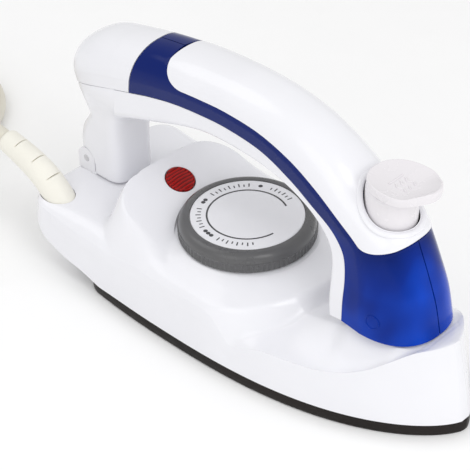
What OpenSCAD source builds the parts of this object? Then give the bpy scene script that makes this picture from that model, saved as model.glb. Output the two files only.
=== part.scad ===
// Folding travel steam iron. Frame: +X to the nose, +Z up, origin under the middle of the iron, on
// the ironing surface. The handle, with the water tank, folds up about a pin at the heel.

/* [Soleplate] */
// Length of the soleplate
sole_l = 152; // [151:0.5:153]
// Greatest width of the soleplate
sole_w = 73.8; // [73:0.2:74.6]
// Thickness of the soleplate
sole_t = 4.8; // [4.4:0.1:5.2]
// Diameter of one steam vent
vent_d = 2.4; // [1.6:0.2:3]

/* [Housing] */
// Wall of the white housing
shell_wall = 2.2; // [1.8:0.1:2.4]
// Height of the flat under the dial
platform_z = 32; // [31:0.5:32.5]
// Height of the rear deck, which carries the hinge and the cord
deck_z = 27.6; // [27:0.2:27.8]

/* [Dial] */
// Diameter of the dial's grey rim
dial_d = 50; // [48:0.5:51]
// Diameter of the printed disc
disc_d = 41; // [38:0.5:42]
// Top of the printed disc above the ironing surface
disc_z = 39.4; // [38.5:0.1:40]

/* [Handle] */
// Wall of the tank, the cap and the lower handle
tank_wall = 2; // [1.6:0.1:2.2]
// Diameter of the hinge pin
pin_d = 3; // [2.6:0.2:3.4]
// Diameter of the steam button's stem
stem_d = 17.5; // [16.5:0.1:17.8]
// Travel of the steam button
button_travel = 4.5; // [3:0.5:5]

/* [Cord] */
// Diameter of the mains cord
cord_d = 6; // [6:0.1:6.2]

/* [Fineness] */
// Steps along the housing
shell_steps = 34; // [30:2:44]
// Steps between two handle stations
loft_steps = 2; // [2:1:3]

/* [Hidden] */
$fn = 48;

nose_x = 90;                       // foremost point of the iron
heel_x = -90;                      // rearmost point of the iron
sole_back_x = nose_x - sole_l;
half_w = sole_w / 2;
widest = 111.8;                    // distance from the nose to the widest place of the sole
run_gap = 0.05;                    // radial clearance of a running fit
seam = 0.3;                        // gap between pieces that move past each other

dial_x = -10;                      // axis of the dial
dial_r = dial_d / 2;
dial_z = platform_z + 0.6;         // underside of the dial
pocket_r = dial_r + 1.2;           // round pocket that the dial turns in
shaft_r = 3;
valve_x = 54.5;                    // axis of the steam button and the drip valve
lamp_x = -44;
lamp_z = 38;
lamp_tilt = 22;                    // slope of the hump that carries the lamp
lamp_r = 5.5;
hinge_x = -84.8;                   // axis of the handle's hinge
hinge_z = 33.4;
knuckle_r = 4.1;
relief_x = -82;                    // where the cord sleeve leaves the deck
relief_y = -27;
tank_z = 33.9;                     // bottom of the tank

// ---------- shared functions ----------

// Value at place t along a list of stations, on a smooth curve through all of them
function along(v, t) =
    let (n = len(v) - 1, i = max(0, min(floor(t), n - 1)), f = t - i,
         a = v[max(i - 1, 0)], b = v[i], c = v[i + 1], d = v[min(i + 2, n)])
    b + 0.5 * f * (c - a + f * (2 * a - 5 * b + 4 * c - d + f * (3 * (b - c) + d - a)));
// Even step from 0 to 1 between two places, with soft ends
function ease(a, b, x) = let (u = max(0, min(1, (x - a) / (b - a)))) u * u * (3 - 2 * u);
function mix(a, b, u) = a + (b - a) * u;

// Two triangles for each cell of a grid of points, n rows of m
function grid_faces(n, m, first, flip) = [for (i = [0:n - 2], j = [0:m - 2], k = [0, 1])
    let (p = first + i * m + j,
         t = k == 0 ? [p, p + 1, p + m + 1] : [p, p + m + 1, p + m])
    flip ? [t[2], t[1], t[0]] : t];
// Faces that close one end row of a grid across its opening
function end_faces(m, first, flip) = [for (j = [0:m / 2 - 2], k = [0, 1])
    let (p = first + j, q = first + m - 1 - j,
         t = k == 0 ? [p, q, q - 1] : [p, q - 1, p + 1])
    flip ? [t[2], t[1], t[0]] : t];
function quad(a, b, c, d) = [[a, b, c], [a, c, d]];

// Closed solid between an outer and an inner skin, open along the first and last column
module cup(outer, inner) {
    n = len(outer);
    m = len(outer[0]);
    in0 = n * m;
    last = (n - 1) * m;
    rims = [for (i = [0:n - 2], f = concat(
        quad(i * m, (i + 1) * m, in0 + (i + 1) * m, in0 + i * m),
        quad(in0 + i * m + m - 1, in0 + (i + 1) * m + m - 1, (i + 1) * m + m - 1,
             i * m + m - 1))) f];
    polyhedron(
        points = concat([for (r = outer, p = r) p], [for (r = inner, p = r) p]),
        faces = concat(
            grid_faces(n, m, 0, false), grid_faces(n, m, in0, true), rims,
            end_faces(m, 0, false), end_faces(m, in0, true),
            end_faces(m, last, true), end_faces(m, in0 + last, false),
            quad(0, in0, in0 + m - 1, m - 1),
            quad(last, last + m - 1, in0 + last + m - 1, in0 + last)),
        convexity = 8);
}

// Round tube swept along a path of points
function unit(v) = v / norm(v);
function heading(p, i) = unit(p[min(i + 1, len(p) - 1)] - p[max(i - 1, 0)]);
function ring(c, dir, r, sides) =
    let (side = unit(cross([0.13, 0.21, 1], dir)), up = cross(dir, side))
    [for (k = [0:sides - 1]) c + r * (cos(360 * k / sides) * side + sin(360 * k / sides) * up)];
module sweep_tube(path, radii, sides = 8) {
    n = len(path);
    polyhedron(
        points = [for (i = [0:n - 1]) each ring(path[i], heading(path, i), radii[i], sides)],
        faces = concat(
            [[for (k = [0:sides - 1]) k]],
            [for (i = [0:n - 2], k = [0:sides - 1]) each
                quad(i * sides + k, (i + 1) * sides + k, (i + 1) * sides + (k + 1) % sides,
                     i * sides + (k + 1) % sides)],
            [[for (k = [sides - 1:-1:0]) (n - 1) * sides + k]]),
        convexity = 6);
}

// ---------- outline and top of the housing ----------

// Half-width of the soleplate at x
function sole_half(x) = let (s = nose_x - x)
    s < widest ? half_w * pow(1 - pow(1 - max(s, 0) / widest, 2.75), 0.68)
               : half_w * (1 - 0.07 * pow((s - widest) / (152 - widest), 2));
// Half-width of the housing at x: it follows the soleplate, and the tail has round corners
tail_r = 9;
function shell_half(x) = let (e = max(0, heel_x + tail_r - x))
    (x > -22 ? sole_half(x) : mix(half_w, 36, ease(-22, -60, x)))
        - (tail_r - sqrt(max(0, tail_r * tail_r - e * e)));
// Lower edge of the housing's wall: the tail sweeps up behind the soleplate
tail_edge = [[-90, 24.6], [-87.4, 19.3], [-80.6, 12.4], [-70.8, 8.8], [-61.5, 7.4], [-52, sole_t]];
function edge_z(x) = x > -52 ? sole_t : lookup(x, tail_edge);

// Height of the scoop that the tank sits in, along the middle and at the skirt
function saddle_z(x) = lookup(x, [[26, 23.5], [34, 25.5], [41, 27.4], [47, 29], [52, 32.6],
    [79.5, 33.1], [83, 34.4], [90, 35.2]]);
function skirt_z(x) = lookup(x, [[0, 17], [20, 19], [48, 20], [58, 22], [66, 25.5], [73, 30],
    [80, 34.2], [90, 35]]);
function scoop_z(x, y) = let (w = max(1, shell_half(x)), flat_w = min(13.5, 0.7 * w),
                              u = max(0, min(1, (abs(y) - flat_w) / (w - flat_w))))
    mix(skirt_z(x), saddle_z(x), pow(1 - u, 1.5));
// Height of the flat under the dial, which falls away outside the dial
function platform(x, y) = let (r = norm([x - dial_x, y]), s = r > 0 ? y / r : 0)
    platform_z - max(0, r - dial_r) / 13 * (2 + 4.5 * s * s);
// Height of the hump behind the dial and how far inside its rounded outline a point is
hump_back_x = -55.5;
hump_w = 31;
hump_r = 15;
function hump(x) = lamp_z + (lamp_x - x) * tan(lamp_tilt);
function hump_in(x, y) = let (dx = hump_back_x + hump_r - x, dy = abs(y) - (hump_w - hump_r))
    hump_r - norm([max(0, dx), max(0, dy)]);
function hump_share(x, y) = let (d = hump_in(x, y), soft = mix(2.4, 9, ease(8, 30, abs(y))))
    ease(-soft / 2, soft / 2, d);
function deck(x) = deck_z - 3 * ease(-60, -20, x) + 4.4 * ease(-50, -28, x);
// Rounding of the top edge behind the scoop
function edge_drop(x, y) = let (R = x < -60 ? mix(4, 8, ease(-90, -60, x)) : 8,
                                e = max(0, min(R, shell_half(x) - abs(y))))
    (R - sqrt(R * R - (R - e) * (R - e))) * (1 - ease(12, 30, x));
function tail_drop(x) = let (R = 4, e = max(0, min(R, x - heel_x)))
    0.3 * (R - sqrt(R * R - (R - e) * (R - e)));
function behind_z(x, y) = let (p = platform(x, y), h = max(p, min(hump(x), 43.6)))
    mix(deck(x), x < -29 ? h : p, hump_share(x, y));
function top_z(x, y) =
    let (r = norm([x - dial_x, y]), back = behind_z(x, y),
         share = x > dial_x ? ease(37.5, 43, r) : 0)
    mix(back, scoop_z(x, y), share) - edge_drop(x, y) - tail_drop(x);
// Inner face under the top: below the lowest of the near outer heights, and below the dial's pocket
function inside_z(x, y) = let (reach = 2,
        low = min([for (dx = [-reach, 0, reach], dy = [-reach, 0, reach]) top_z(x + dx, y + dy)]),
        pocket = norm([x - dial_x, y]) < pocket_r + 4 ? platform_z : 99)
    min(low, pocket) - shell_wall + 0.2;

// One cross-section of the housing: up the wall, over the top and down again
nose_lean = 5.6;
nose_tip = nose_x - 0.5;
crown = 0.3;                       // slight crown of every cross-section
across = 9;                        // points from the wall to the middle
function lean(x, z) = nose_lean * (z - sole_t) / 30 * pow(max(0, (x - 40) / 50), 2);
function shell_row(x, inset, roof) =
    let (w = shell_half(x) - inset, zb = edge_z(x), draft = min(0.9, w / 3), half =
        concat([for (k = [0:2]) let (zt = roof ? inside_z(x, w) : top_z(x, w), u = k / 3,
                                     z = mix(zb, zt, u)) [x - lean(x, z), w - draft * u, z]],
               [for (k = [0:across - 1]) let (u = pow(1 - k / across, 0.8), y = (w - draft) * u,
                                              z = roof ? inside_z(x, y) : top_z(x, y))
                [x - lean(x, z), y, max(z, zb + (roof ? 0.2 : 0.8)) + crown * (1 - u * u)]]))
    concat([for (p = half) [p[0], -p[1], p[2]]],
           [for (k = [len(half) - 1:-1:0]) half[k]]);
function shell_x(i) = let (u = i / shell_steps)
    u < 0.5 ? mix(heel_x, -16, u * 2) : mix(-16, nose_tip, sin(180 * (u - 0.5)));
function shell_in_x(i) = let (x = shell_x(i), front = nose_x - 4.5)
    x > 60 ? mix(60, front, (x - 60) / (nose_tip - 60)) : max(x, heel_x + 1.8 + i * 0.05);

// ---------- base ----------

module sole_outline(shrink = 0) {
    steps = 28;
    corner_r = 10;
    xs = [for (i = [0:steps]) let (u = i / steps) mix(nose_x - shrink * 2.2, sole_back_x + corner_r,
        1 - cos(90 * u))];
    w0 = sole_half(sole_back_x + corner_r) - shrink;
    side = concat([for (x = xs) [x, max(0.2, sole_half(x) - shrink)]],
        [for (a = [15:15:90]) [sole_back_x + corner_r - (corner_r - shrink) * sin(a),
                               w0 - corner_r + corner_r * cos(a)]]);
    polygon(concat(side, [for (k = [len(side) - 1:-1:0]) [side[k][0], -side[k][1]]]));
}

chamber_r = 13;
chamber_h = 9;
cover_t = 1.6;
vent_ring = 9;
screw_at = [[valve_x - 9.5, 0], [valve_x + 9.5, 0]];

module soleplate() {
    color("#3a2f2c") difference() {
        union() {
            linear_extrude(sole_t) sole_outline();
            translate([valve_x, 0, 0]) cylinder(r = chamber_r, h = sole_t + chamber_h);
        }
        translate([valve_x, 0, sole_t]) difference() {
            cylinder(r = chamber_r - 2, h = chamber_h + 1);
            for (s = screw_at) translate([s[0] - valve_x, 0, 0]) cylinder(r = 2.6, h = 20);
        }
        for (s = screw_at) translate([s[0], 0, sole_t + 2]) cylinder(r = 1.25, h = 20);
        for (a = [30:60:330]) translate([valve_x + vent_ring * cos(a), vent_ring * sin(a), -1])
            cylinder(d = vent_d, h = sole_t + 2, $fn = 24);
        translate([valve_x, 0, -1]) cylinder(d = vent_d, h = sole_t + 2, $fn = 24);
    }
}

element_r = 3.2;
element_y = 17;
element_front = 20;
element_back = -50;
module heating_element() {
    z = sole_t + element_r;
    color("#8c8c90") {
        translate([element_front, 0, z]) rotate([0, 0, -90])
            rotate_extrude(angle = 180) translate([element_y, 0]) circle(r = element_r);
        for (s = [-1, 1]) translate([element_back, s * element_y, z])
            rotate([0, 90, 0]) cylinder(r = element_r, h = element_front - element_back);
    }
}
module element_pins() {
    color("#b8b8bc") for (s = [-1, 1])
        translate([element_back - 8, s * element_y, sole_t + element_r])
            rotate([0, 90, 0]) cylinder(r = 1.2, h = 8);
}
module chamber_cover() {
    color("#a9abb0") difference() {
        translate([valve_x, 0, sole_t + chamber_h]) cylinder(r = chamber_r, h = cover_t);
        for (s = screw_at) translate([s[0], 0, 0]) cylinder(r = 1.6, h = 30);
        translate([valve_x, 0, 0]) cylinder(r = 2, h = 30);
    }
}
module screw(head_r, head_h, shank_r, shank_l) {
    difference() {
        union() {
            cylinder(r = head_r, h = head_h);
            translate([0, 0, -shank_l]) cylinder(r = shank_r, h = shank_l + 0.5);
        }
        for (a = [0, 90]) rotate([0, 0, a])
            translate([-head_r * 0.6, -0.3, head_h - 0.7]) cube([head_r * 1.2, 0.6, 1]);
    }
}
module chamber_screws() {
    color("#c9ccd1") for (s = screw_at)
        translate([s[0], 0, sole_t + chamber_h + cover_t]) screw(2.4, 1.6, 1.2, 7);
}
inlet_base = sole_t + chamber_h + cover_t;
inlet_top = 27;
module steam_inlet() {
    color("#d9d9d4") translate([valve_x, 0, inlet_base]) difference() {
        union() {
            cylinder(r = 5.2, h = 1.2);
            cylinder(r = 4.2, h = inlet_top - inlet_base);
        }
        translate([0, 0, -1]) cylinder(r = 2, h = 40);
    }
}
seal_r = 4.6;
nozzle_r = 3;
module inlet_seal() {
    color("#e7e2da") translate([valve_x, 0, 0]) rotate_extrude()
        translate([nozzle_r + seam, inlet_top]) square([seal_r - nozzle_r - seam - 0.1, 6]);
}
module heat_shield() {
    shield_z = 15;
    color("#b9bcc0") translate([0, 0, shield_z]) linear_extrude(0.8) difference() {
        intersection() {
            sole_outline(8);
            translate([-46, -40]) square([84, 80]);
        }
        translate([dial_x, 0]) circle(r = 8);
    }
}
thermostat_h = 9;
module thermostat() {
    color("#c7b8a0") translate([dial_x, 0, sole_t]) difference() {
        union() {
            translate([-15, -7, 0]) cube([30, 14, 2]);
            cylinder(r = 8, h = thermostat_h);
            cylinder(r = 5, h = thermostat_h + 6);
        }
        translate([0, 0, 4]) cylinder(r = shaft_r + run_gap, h = 40);
    }
}
module thermal_fuse() {
    color("#e9e4d8") translate([-43.5, -5, sole_t + 2.1]) rotate([0, 90, 0]) {
        cylinder(r = 2, h = 12);
        for (x = [-5, 12]) translate([0, 0, x]) cylinder(r = 0.5, h = 5, $fn = 24);
    }
}

module body_shell() {
    rows = [for (i = [0:shell_steps]) shell_row(shell_x(i), 0, false)];
    inner = [for (i = [0:shell_steps]) shell_row(shell_in_x(i), shell_wall, true)];
    color("#f4f4f8") difference() {
        cup(rows, inner);
        translate([dial_x, 0, platform_z]) cylinder(r = pocket_r, h = 30, $fn = 96);
        translate([dial_x, 0, 10]) cylinder(r = shaft_r + 1, h = 40);
        translate([lamp_x, 0, lamp_z]) rotate([0, lamp_tilt, 0])
            translate([0, 0, -20]) cylinder(r = lamp_r + 0.1, h = 40);
        translate([valve_x, 0, 20]) cylinder(r = seal_r, h = 40);
        sleeve_frame() translate([0, 0, -7]) cylinder(r = sleeve_r + 0.4, h = 14);
    }
}
module rear_cover() {
    floor_pts = [for (x = [-86.2:2.4:-62.2]) [x, edge_z(x)]];
    thick = 2;
    color("#ececf2") difference() {
        translate([0, 31, 0]) rotate([90, 0, 0]) linear_extrude(62) polygon(concat(floor_pts,
            [for (k = [len(floor_pts) - 1:-1:0]) [floor_pts[k][0] + 0.6, floor_pts[k][1] + thick]]));
        for (s = [-1, 1]) translate([-70, s * 22, 0]) cylinder(r = 1.6, h = 30);
    }
}
module cover_screws() {
    color("#c9ccd1") for (s = [-1, 1])
        translate([-70, s * 22, edge_z(-67) - 0.1]) mirror([0, 0, 1]) screw(2.8, 1.4, 1.5, 4.8);
}

module lamp_frame() {
    translate([lamp_x, 0, lamp_z]) rotate([0, lamp_tilt, 0]) children();
}
module lamp_lens() {
    color("#c81410") lamp_frame() rotate_extrude() difference() {
        polygon([[0, -4], [lamp_r, -4], [lamp_r, 0.1], [lamp_r - 0.5, 0.8], [0, 1.1]]);
        translate([-1, -5]) square([lamp_r, 4]);
    }
}
module neon_lamp() {
    color("#ff9a70") lamp_frame() translate([0, 0, -8.8]) {
        cylinder(r = 1.8, h = 6);
        translate([0, 0, 6]) sphere(r = 1.8);
    }
}
module lamp_holder() {
    color("#dcdce0") lamp_frame() difference() {
        translate([0, 0, -11]) cylinder(r = 4.6, h = 6);
        translate([0, 0, -9]) cylinder(r = 2, h = 10);
    }
}
module terminal_block() {
    color("#e8e6df") difference() {
        translate([-79, 2, 17.5]) cube([16, 20, 7.5]);
        for (y = [8, 16]) {
            translate([-80, y, 20]) rotate([0, 90, 0]) cylinder(r = 1.6, h = 18);
            translate([-71, y, 21]) cylinder(r = 1.4, h = 6);
        }
    }
}
clamp_y = [-31.5, -22.5];
module cord_clamp() {
    color("#e8e6df") difference() {
        translate([-72, -33, 14.8]) cube([7, 12, 2.4]);
        for (y = clamp_y) translate([-68.5, y, 10]) cylinder(r = 1.2, h = 10);
    }
}
module clamp_screws() {
    color("#c9ccd1") for (y = clamp_y)
        translate([-68.5, y, 14.8]) mirror([0, 0, 1]) screw(1.8, 1.2, 1.1, 6);
}

bracket_z = deck_z + crown + 0.05;
ear_in = 6.6;
ear_out = 9.6;
module hinge_bracket() {
    color("#f1f1f6") difference() {
        union() {
            translate([-89.4, -ear_out, bracket_z]) cube([9.6, 2 * ear_out, 1.3]);
            for (y = [-ear_out, ear_in]) translate([hinge_x, y, hinge_z]) {
                rotate([-90, 0, 0]) cylinder(r = 4.5, h = ear_out - ear_in);
                translate([-4.5, 0, bracket_z - hinge_z])
                    cube([9, ear_out - ear_in, hinge_z - bracket_z]);
            }
        }
        translate([hinge_x, -20, hinge_z]) rotate([-90, 0, 0]) cylinder(d = pin_d, h = 40);
    }
}
module hinge_pin() {
    color("#b8bbc0") translate([hinge_x, -ear_out, hinge_z])
        rotate([-90, 0, 0]) cylinder(d = pin_d, h = 2 * ear_out);
}

// ---------- dial ----------

module thermostat_shaft() {
    color("#b8bbc0") translate([dial_x, 0, sole_t + 5])
        cylinder(r = shaft_r, h = disc_z - 2 - sole_t - 5);
}
module dial_knob() {
    top = disc_z + 0.2;
    color("#5f5f61") translate([dial_x, 0, 0]) rotate_extrude($fn = 96) difference() {
        union() {
            polygon(concat([[dial_r - 2.2, dial_z], [dial_r, dial_z], [dial_r, dial_z + 3.6]],
                [for (a = [0:15:75]) [dial_r - 3.4 + 2.8 * cos(a), dial_z + 3.8 + 3.2 * sin(a)]],
                [[disc_d / 2 + 0.05, top], [disc_d / 2 + 0.05, disc_z - 1.4], [0, disc_z - 1.4],
                 [0, disc_z - 3.4], [dial_r - 3.4, disc_z - 3.4]]));
            square([5.5, disc_z - 2]);
        }
        translate([-1, 0]) square([8, dial_z + 0.5]);
        square([shaft_r, disc_z - 2]);
    }
}
module dial_disc() {
    color("#f6f6f8") translate([dial_x, 0, disc_z - 1.4]) cylinder(d = disc_d, h = 1.4, $fn = 96);
}

// ---------- handle ----------

// Stations along the handle from the heel to the bottom of the tank, in the side view:
// underside of the grip, parting line, top, and half-width
under_pts = [[-88, 60], [-84, 60], [-76, 60], [-66, 60.5], [-56, 64.2], [-43, 68.5], [-31, 72.5],
    [-19, 75.3], [-6, 75.6], [7, 74.6], [18, 72.3], [26.5, 69.3], [33, 65.3], [38, 60],
    [40.2, 54], [40.8, 48], [41, 40], [41.6, 33.2]];
part_pts = [[-88, 67], [-84, 68], [-76, 70.5], [-66, 73.5], [-55, 76.6], [-44, 79.5],
    [-32, 81.8], [-19, 82.8], [-7, 82.8], [8, 80.8], [21, 75.5], [31, 70], [39.5, 65.5],
    [44.5, 61], [46.9, 56.5], [48, 49.5], [48.2, 41.7], [48.3, tank_z]];
crown_pts = [[-88.6, 77], [-85.5, 83.5], [-76, 89.8], [-64, 93], [-50, 95.6], [-40, 97],
    [-29, 98.3], [-17, 99], [-5, 99.2], [9, 98.2], [23, 95.2], [35.5, 89.2], [47.5, 80.7],
    [64, 71.2], [66.4, 66], [70.6, 56], [74.4, 45.5], [76.8, tank_z + 0.3]];
half_pts = [8.8, 11.4, 12.6, 12.8, 13, 13, 13, 12.8, 12.6, 12.5, 12.5, 12.8, 13.4, 14, 14.6,
    15.6, 16.8, 17.3];
last_station = 17;
cap_end = 4;                       // station where the rear cap meets the tank
roundness = 2.35;
shoulder = 0.3;                    // share of the height where the section is widest

// Point of the upper section at station t, angle f above the shoulder, inset by a wall
function upper_point(t, share, side, inset) =
    let (p = along(part_pts, t), q = along(crown_pts, t), w = along(half_pts, t),
         h = norm(q - p), a = inset / h + share * (1 - 2 * inset / h), c = mix(p, q, a))
    [c[0], side * (w - inset), c[1]];
function arc_point(t, f, s, inset) =
    upper_point(t, shoulder + (1 - shoulder) * pow(sin(f), 2 / roundness),
                s * pow(cos(f), 2 / roundness), inset);
function flank_point(t, u, s, inset) = upper_point(t, shoulder * u, s * (0.94 + 0.06 * u), inset);

// Angle of the inlay's edge at station t: 90 is the crown
inlay_from = 5.2;
inlay_to = 13.8;
inlay_angle = 7;
function inlay_edge(t) = t <= inlay_from || t >= inlay_to ? 89.9 :
    let (near = min((t - inlay_from) / 1.1, (inlay_to - t) / 0.9, 1))
    mix(89.9, inlay_angle, sqrt(1 - pow(1 - near, 2)));

function stations(a, b) = [for (i = [0:(b - a) * loft_steps]) a + i / loft_steps];
// Cross-section of one tank half: from its top edge, down the flank and in to the seam
function tank_row(t, side, inset) = let (top = inlay_edge(t), gap = 0.02) concat(
    [for (k = [0:5]) arc_point(t, mix(min(top + (top < 89 ? -0.3 : 0), 89.9), 0, k / 5), side,
                               inset)],
    [for (u = [0.5, 0]) flank_point(t, u, side, inset)],
    [for (u = [0.5, 0.01]) upper_point(t, 0, side * 0.94 * u, inset)]);
module tank_half(side) {
    ts = stations(cap_end, last_station);
    outer = [for (t = ts) tank_row(t, side, 0)];
    inner = [for (t = ts) tank_row(mix(cap_end + 0.15, last_station - 0.22,
        (t - cap_end) / (last_station - cap_end)), side, tank_wall)];
    color("#1d3fa8") difference() {
        if (side > 0) cup(outer, inner);
        else cup([for (r = outer) [for (k = [len(r) - 1:-1:0]) r[k]]],
                 [for (r = inner) [for (k = [len(r) - 1:-1:0]) r[k]]]);
        translate([valve_x, 0, 30]) cylinder(r = guide_r + 0.1, h = 8);
    }
}
module tank_left() { tank_half(1); }
module tank_right() { tank_half(-1); }

function inlay_row(t, inset) = let (top = inlay_edge(t), lift = 0.6) concat(
    [for (k = [0:5]) arc_point(t, mix(min(top + lift, 89.9), 90, k / 5.5), -1, inset)],
    [for (k = [5:-1:0]) arc_point(t, mix(min(top + lift, 89.9), 90, k / 5.5), 1, inset)]);
module grip_inlay() {
    ts = stations(inlay_from, inlay_to);
    first = inlay_from + 0.1;
    end = inlay_to - 0.1;
    outer = [for (t = ts) inlay_row(mix(first, end, (t - inlay_from) / (inlay_to - inlay_from)),
                                    0)];
    inner = [for (t = ts) inlay_row(mix(first + 0.02, end - 0.02,
        (t - inlay_from) / (inlay_to - inlay_from)), tank_wall)];
    color("#f4f4f8") difference() {
        cup(outer, inner);
        translate([valve_x, 0, 50]) cylinder(r = stem_d / 2 + 0.6, h = 60);
    }
}

function cap_row(t, inset) = concat(
    [for (u = [0, 0.5]) flank_point(t, u, -1, inset)],
    [for (k = [0:5]) arc_point(t, k * 90 / 5.5, -1, inset)],
    [for (k = [5:-1:0]) arc_point(t, k * 90 / 5.5, 1, inset)],
    [for (u = [0.5, 0]) flank_point(t, u, 1, inset)]);
module rear_cap() {
    ts = stations(0, cap_end);
    outer = [for (t = ts) cap_row(min(t, cap_end - 0.02), 0)];
    inner = [for (t = ts) [for (p = cap_row(mix(0.35, cap_end - 0.15, t / cap_end), tank_wall))
        [p[0], p[1], p[2] - tank_wall]]];
    color("#f4f4f8") cup(outer, inner);
}

// Cross-section of the lower handle: a channel under the tank and the cap
function grip_point(t, share, s, inset) =
    let (p = along(under_pts, t), q = along(part_pts, t), w = along(half_pts, t) * 0.93,
         h = norm(q - p), c = mix(p, q, inset / h + share * (1 - inset / h)))
    [c[0], s * (w - inset), c[1]];
function grip_row(t, inset) = let (half = concat(
        [for (u = [0.97, 0.5]) grip_point(t, u, 1, inset)],
        [for (a = [0:30:90]) grip_point(t, 0.3 * (1 - sin(a)), 0.8 + 0.2 * cos(a), inset)]))
    concat(half, [for (k = [len(half) - 1:-1:0]) [half[k][0], -half[k][1], half[k][2]]]);
post_w = 19.6;
post_side = [[-88, 66.8], [-84.6, 58], [-82.4, 54.6], [-87, 49], [-89, 43], [-89.4, 38.5],
    [-88.4, 28.6], [-67, 28.6], [-66.4, 54], [-63.6, 62], [-63.6, 74], [-66, 73.3], [-76, 70.3],
    [-84, 67.9]];
post_room = [[-80.4, 42], [-79.8, 56], [-84.6, 62.5], [-84.6, 80], [-66.2, 80], [-66.2, 62],
    [-69, 55], [-69, 42]];
module side_plate(outline, w) {
    translate([0, w / 2, 0]) rotate([90, 0, 0]) linear_extrude(w) polygon(outline);
}
module lower_handle() {
    first = 3.2;
    ts = stations(3, last_station);
    outer = [for (t = ts) grip_row(mix(first, last_station, (t - 3) / (last_station - 3)), 0)];
    inner = [for (t = ts) grip_row(mix(first + 0.1, last_station - 0.25,
                                       (t - 3) / (last_station - 3)), tank_wall)];
    ear_gap = 0.35;
    color("#f4f4f8") {
        difference() {
            union() {
                cup(outer, inner);
                difference() {
                    side_plate(post_side, post_w);
                    side_plate(post_room, post_w - 2 * tank_wall - 1);
                    for (y = [-15, ear_in - ear_gap]) translate([hinge_x, y, hinge_z]) {
                        rotate([-90, 0, 0]) cylinder(r = 4.9, h = 15 - ear_in + ear_gap);
                        translate([-8, 0, -10]) cube([12.9, 15 - ear_in + ear_gap, 10]);
                        translate([-8, 0, -10]) cube([8, 15 - ear_in + ear_gap, 14.4]);
                    }
                    translate([-95, -15, 20]) cube([15.4, 30, hinge_z - 20]);
                }
                translate([hinge_x, ear_gap - ear_in, hinge_z]) rotate([-90, 0, 0])
                    cylinder(r = knuckle_r, h = 2 * (ear_in - ear_gap));
                translate([hinge_x, ear_gap - ear_in, hinge_z - 3])
                    cube([8, 2 * (ear_in - ear_gap), 6]);
            }
            translate([hinge_x, -20, hinge_z]) rotate([-90, 0, 0])
                cylinder(r = pin_d / 2 + run_gap, h = 40);
        }
    }
}

guide_r = 3.4;
rod_r = 1.5;
guide_top = 50;
module valve_guide() {
    color("#dcdce0") translate([valve_x, 0, 0]) difference() {
        union() {
            translate([0, 0, tank_z]) cylinder(r = guide_r, h = guide_top - tank_z);
            translate([0, 0, 37.4]) cylinder(r = 3.9, h = 1.4);
        }
        translate([0, 0, tank_z - 1]) cylinder(r = 1, h = 30);
        translate([0, 0, tank_z + 5]) cylinder(r = rod_r + run_gap, h = 30);
    }
}
module drip_nozzle() {
    color("#e2e2e4") translate([valve_x, 0, 28]) difference() {
        cylinder(r = nozzle_r, h = tank_z - 28);
        translate([0, 0, -1]) cylinder(r = 1, h = 20);
    }
}
rod_low = 44.5;
stem_low = 70.4;
stem_high = 84;
rim_z = 88;
module steam_button() {
    r = stem_d / 2;
    color("#eeeef2") translate([valve_x, 0, 0]) difference() {
        union() {
            translate([0, 0, stem_low]) cylinder(r = r, h = stem_high - stem_low);
            hull() {
                translate([0, 0, stem_high]) cylinder(r = r, h = 0.1, $fn = 32);
                translate([3.2, 0, rim_z - 2.4]) scale([1.05, 1, 1])
                    cylinder(r = 10.4, h = 2.4, $fn = 32);
                translate([14.6, 0, rim_z - 0.6]) cylinder(r = 4.4, h = 3, $fn = 32);
            }
        }
        translate([0, 0, stem_low - 1]) difference() {
            cylinder(r = r - 1.8, h = 12);
            cylinder(r = 4, h = 12);
        }
        translate([0, 0, stem_low - 1]) cylinder(r = rod_r, h = 9);
    }
}
module needle_valve() {
    color("#b8bbc0") translate([valve_x, 0, 0]) {
        translate([0, 0, rod_low]) cylinder(r = rod_r, h = stem_low + 8 - rod_low);
        translate([0, 0, rod_low - 2]) cylinder(r1 = 0.4, r2 = rod_r, h = 2);
    }
}
washer_z = stem_low - 1;
module spring_washer() {
    color("#c9ccd1") translate([valve_x, 0, washer_z]) difference() {
        cylinder(r = 4, h = 1);
        translate([0, 0, -1]) cylinder(r = rod_r, h = 3);
    }
}
spring_r = 2.9;
wire_r = 0.45;
module button_spring() {
    turns = 7;
    steps = 10;
    low = guide_top + wire_r;
    rise = washer_z - wire_r - low;
    path = [for (i = [0:turns * steps]) let (u = i / (turns * steps))
        [valve_x + spring_r * cos(360 * turns * u), spring_r * sin(360 * turns * u),
         low + rise * u]];
    color("#9fa3a8") sweep_tube(path, [for (p = path) wire_r], 6);
}

// ---------- mains lead ----------

sleeve_r = 5.6;
sleeve_tip = 4.5;
sleeve_path = [[-78.5, 23.5], [-82, 27.4], [-86.3, 31.2], [-91, 33.9], [-96.5, 36], [-103, 37.8],
    [-109.6, 39.4]];
module sleeve_frame() {
    translate([relief_x, relief_y, 27.4]) rotate([0, -43, 0]) children();
}
module strain_relief() {
    n = len(sleeve_path) - 1;
    path = [for (i = [0:n * 2]) let (p = along(sleeve_path, i / 2)) [p[0], relief_y, p[1]]];
    color("#f3efdf") sweep_tube(path, [for (i = [0:n * 2])
        mix(sleeve_r, sleeve_tip, pow(i / (2 * n), 2))], 12);
}
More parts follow.
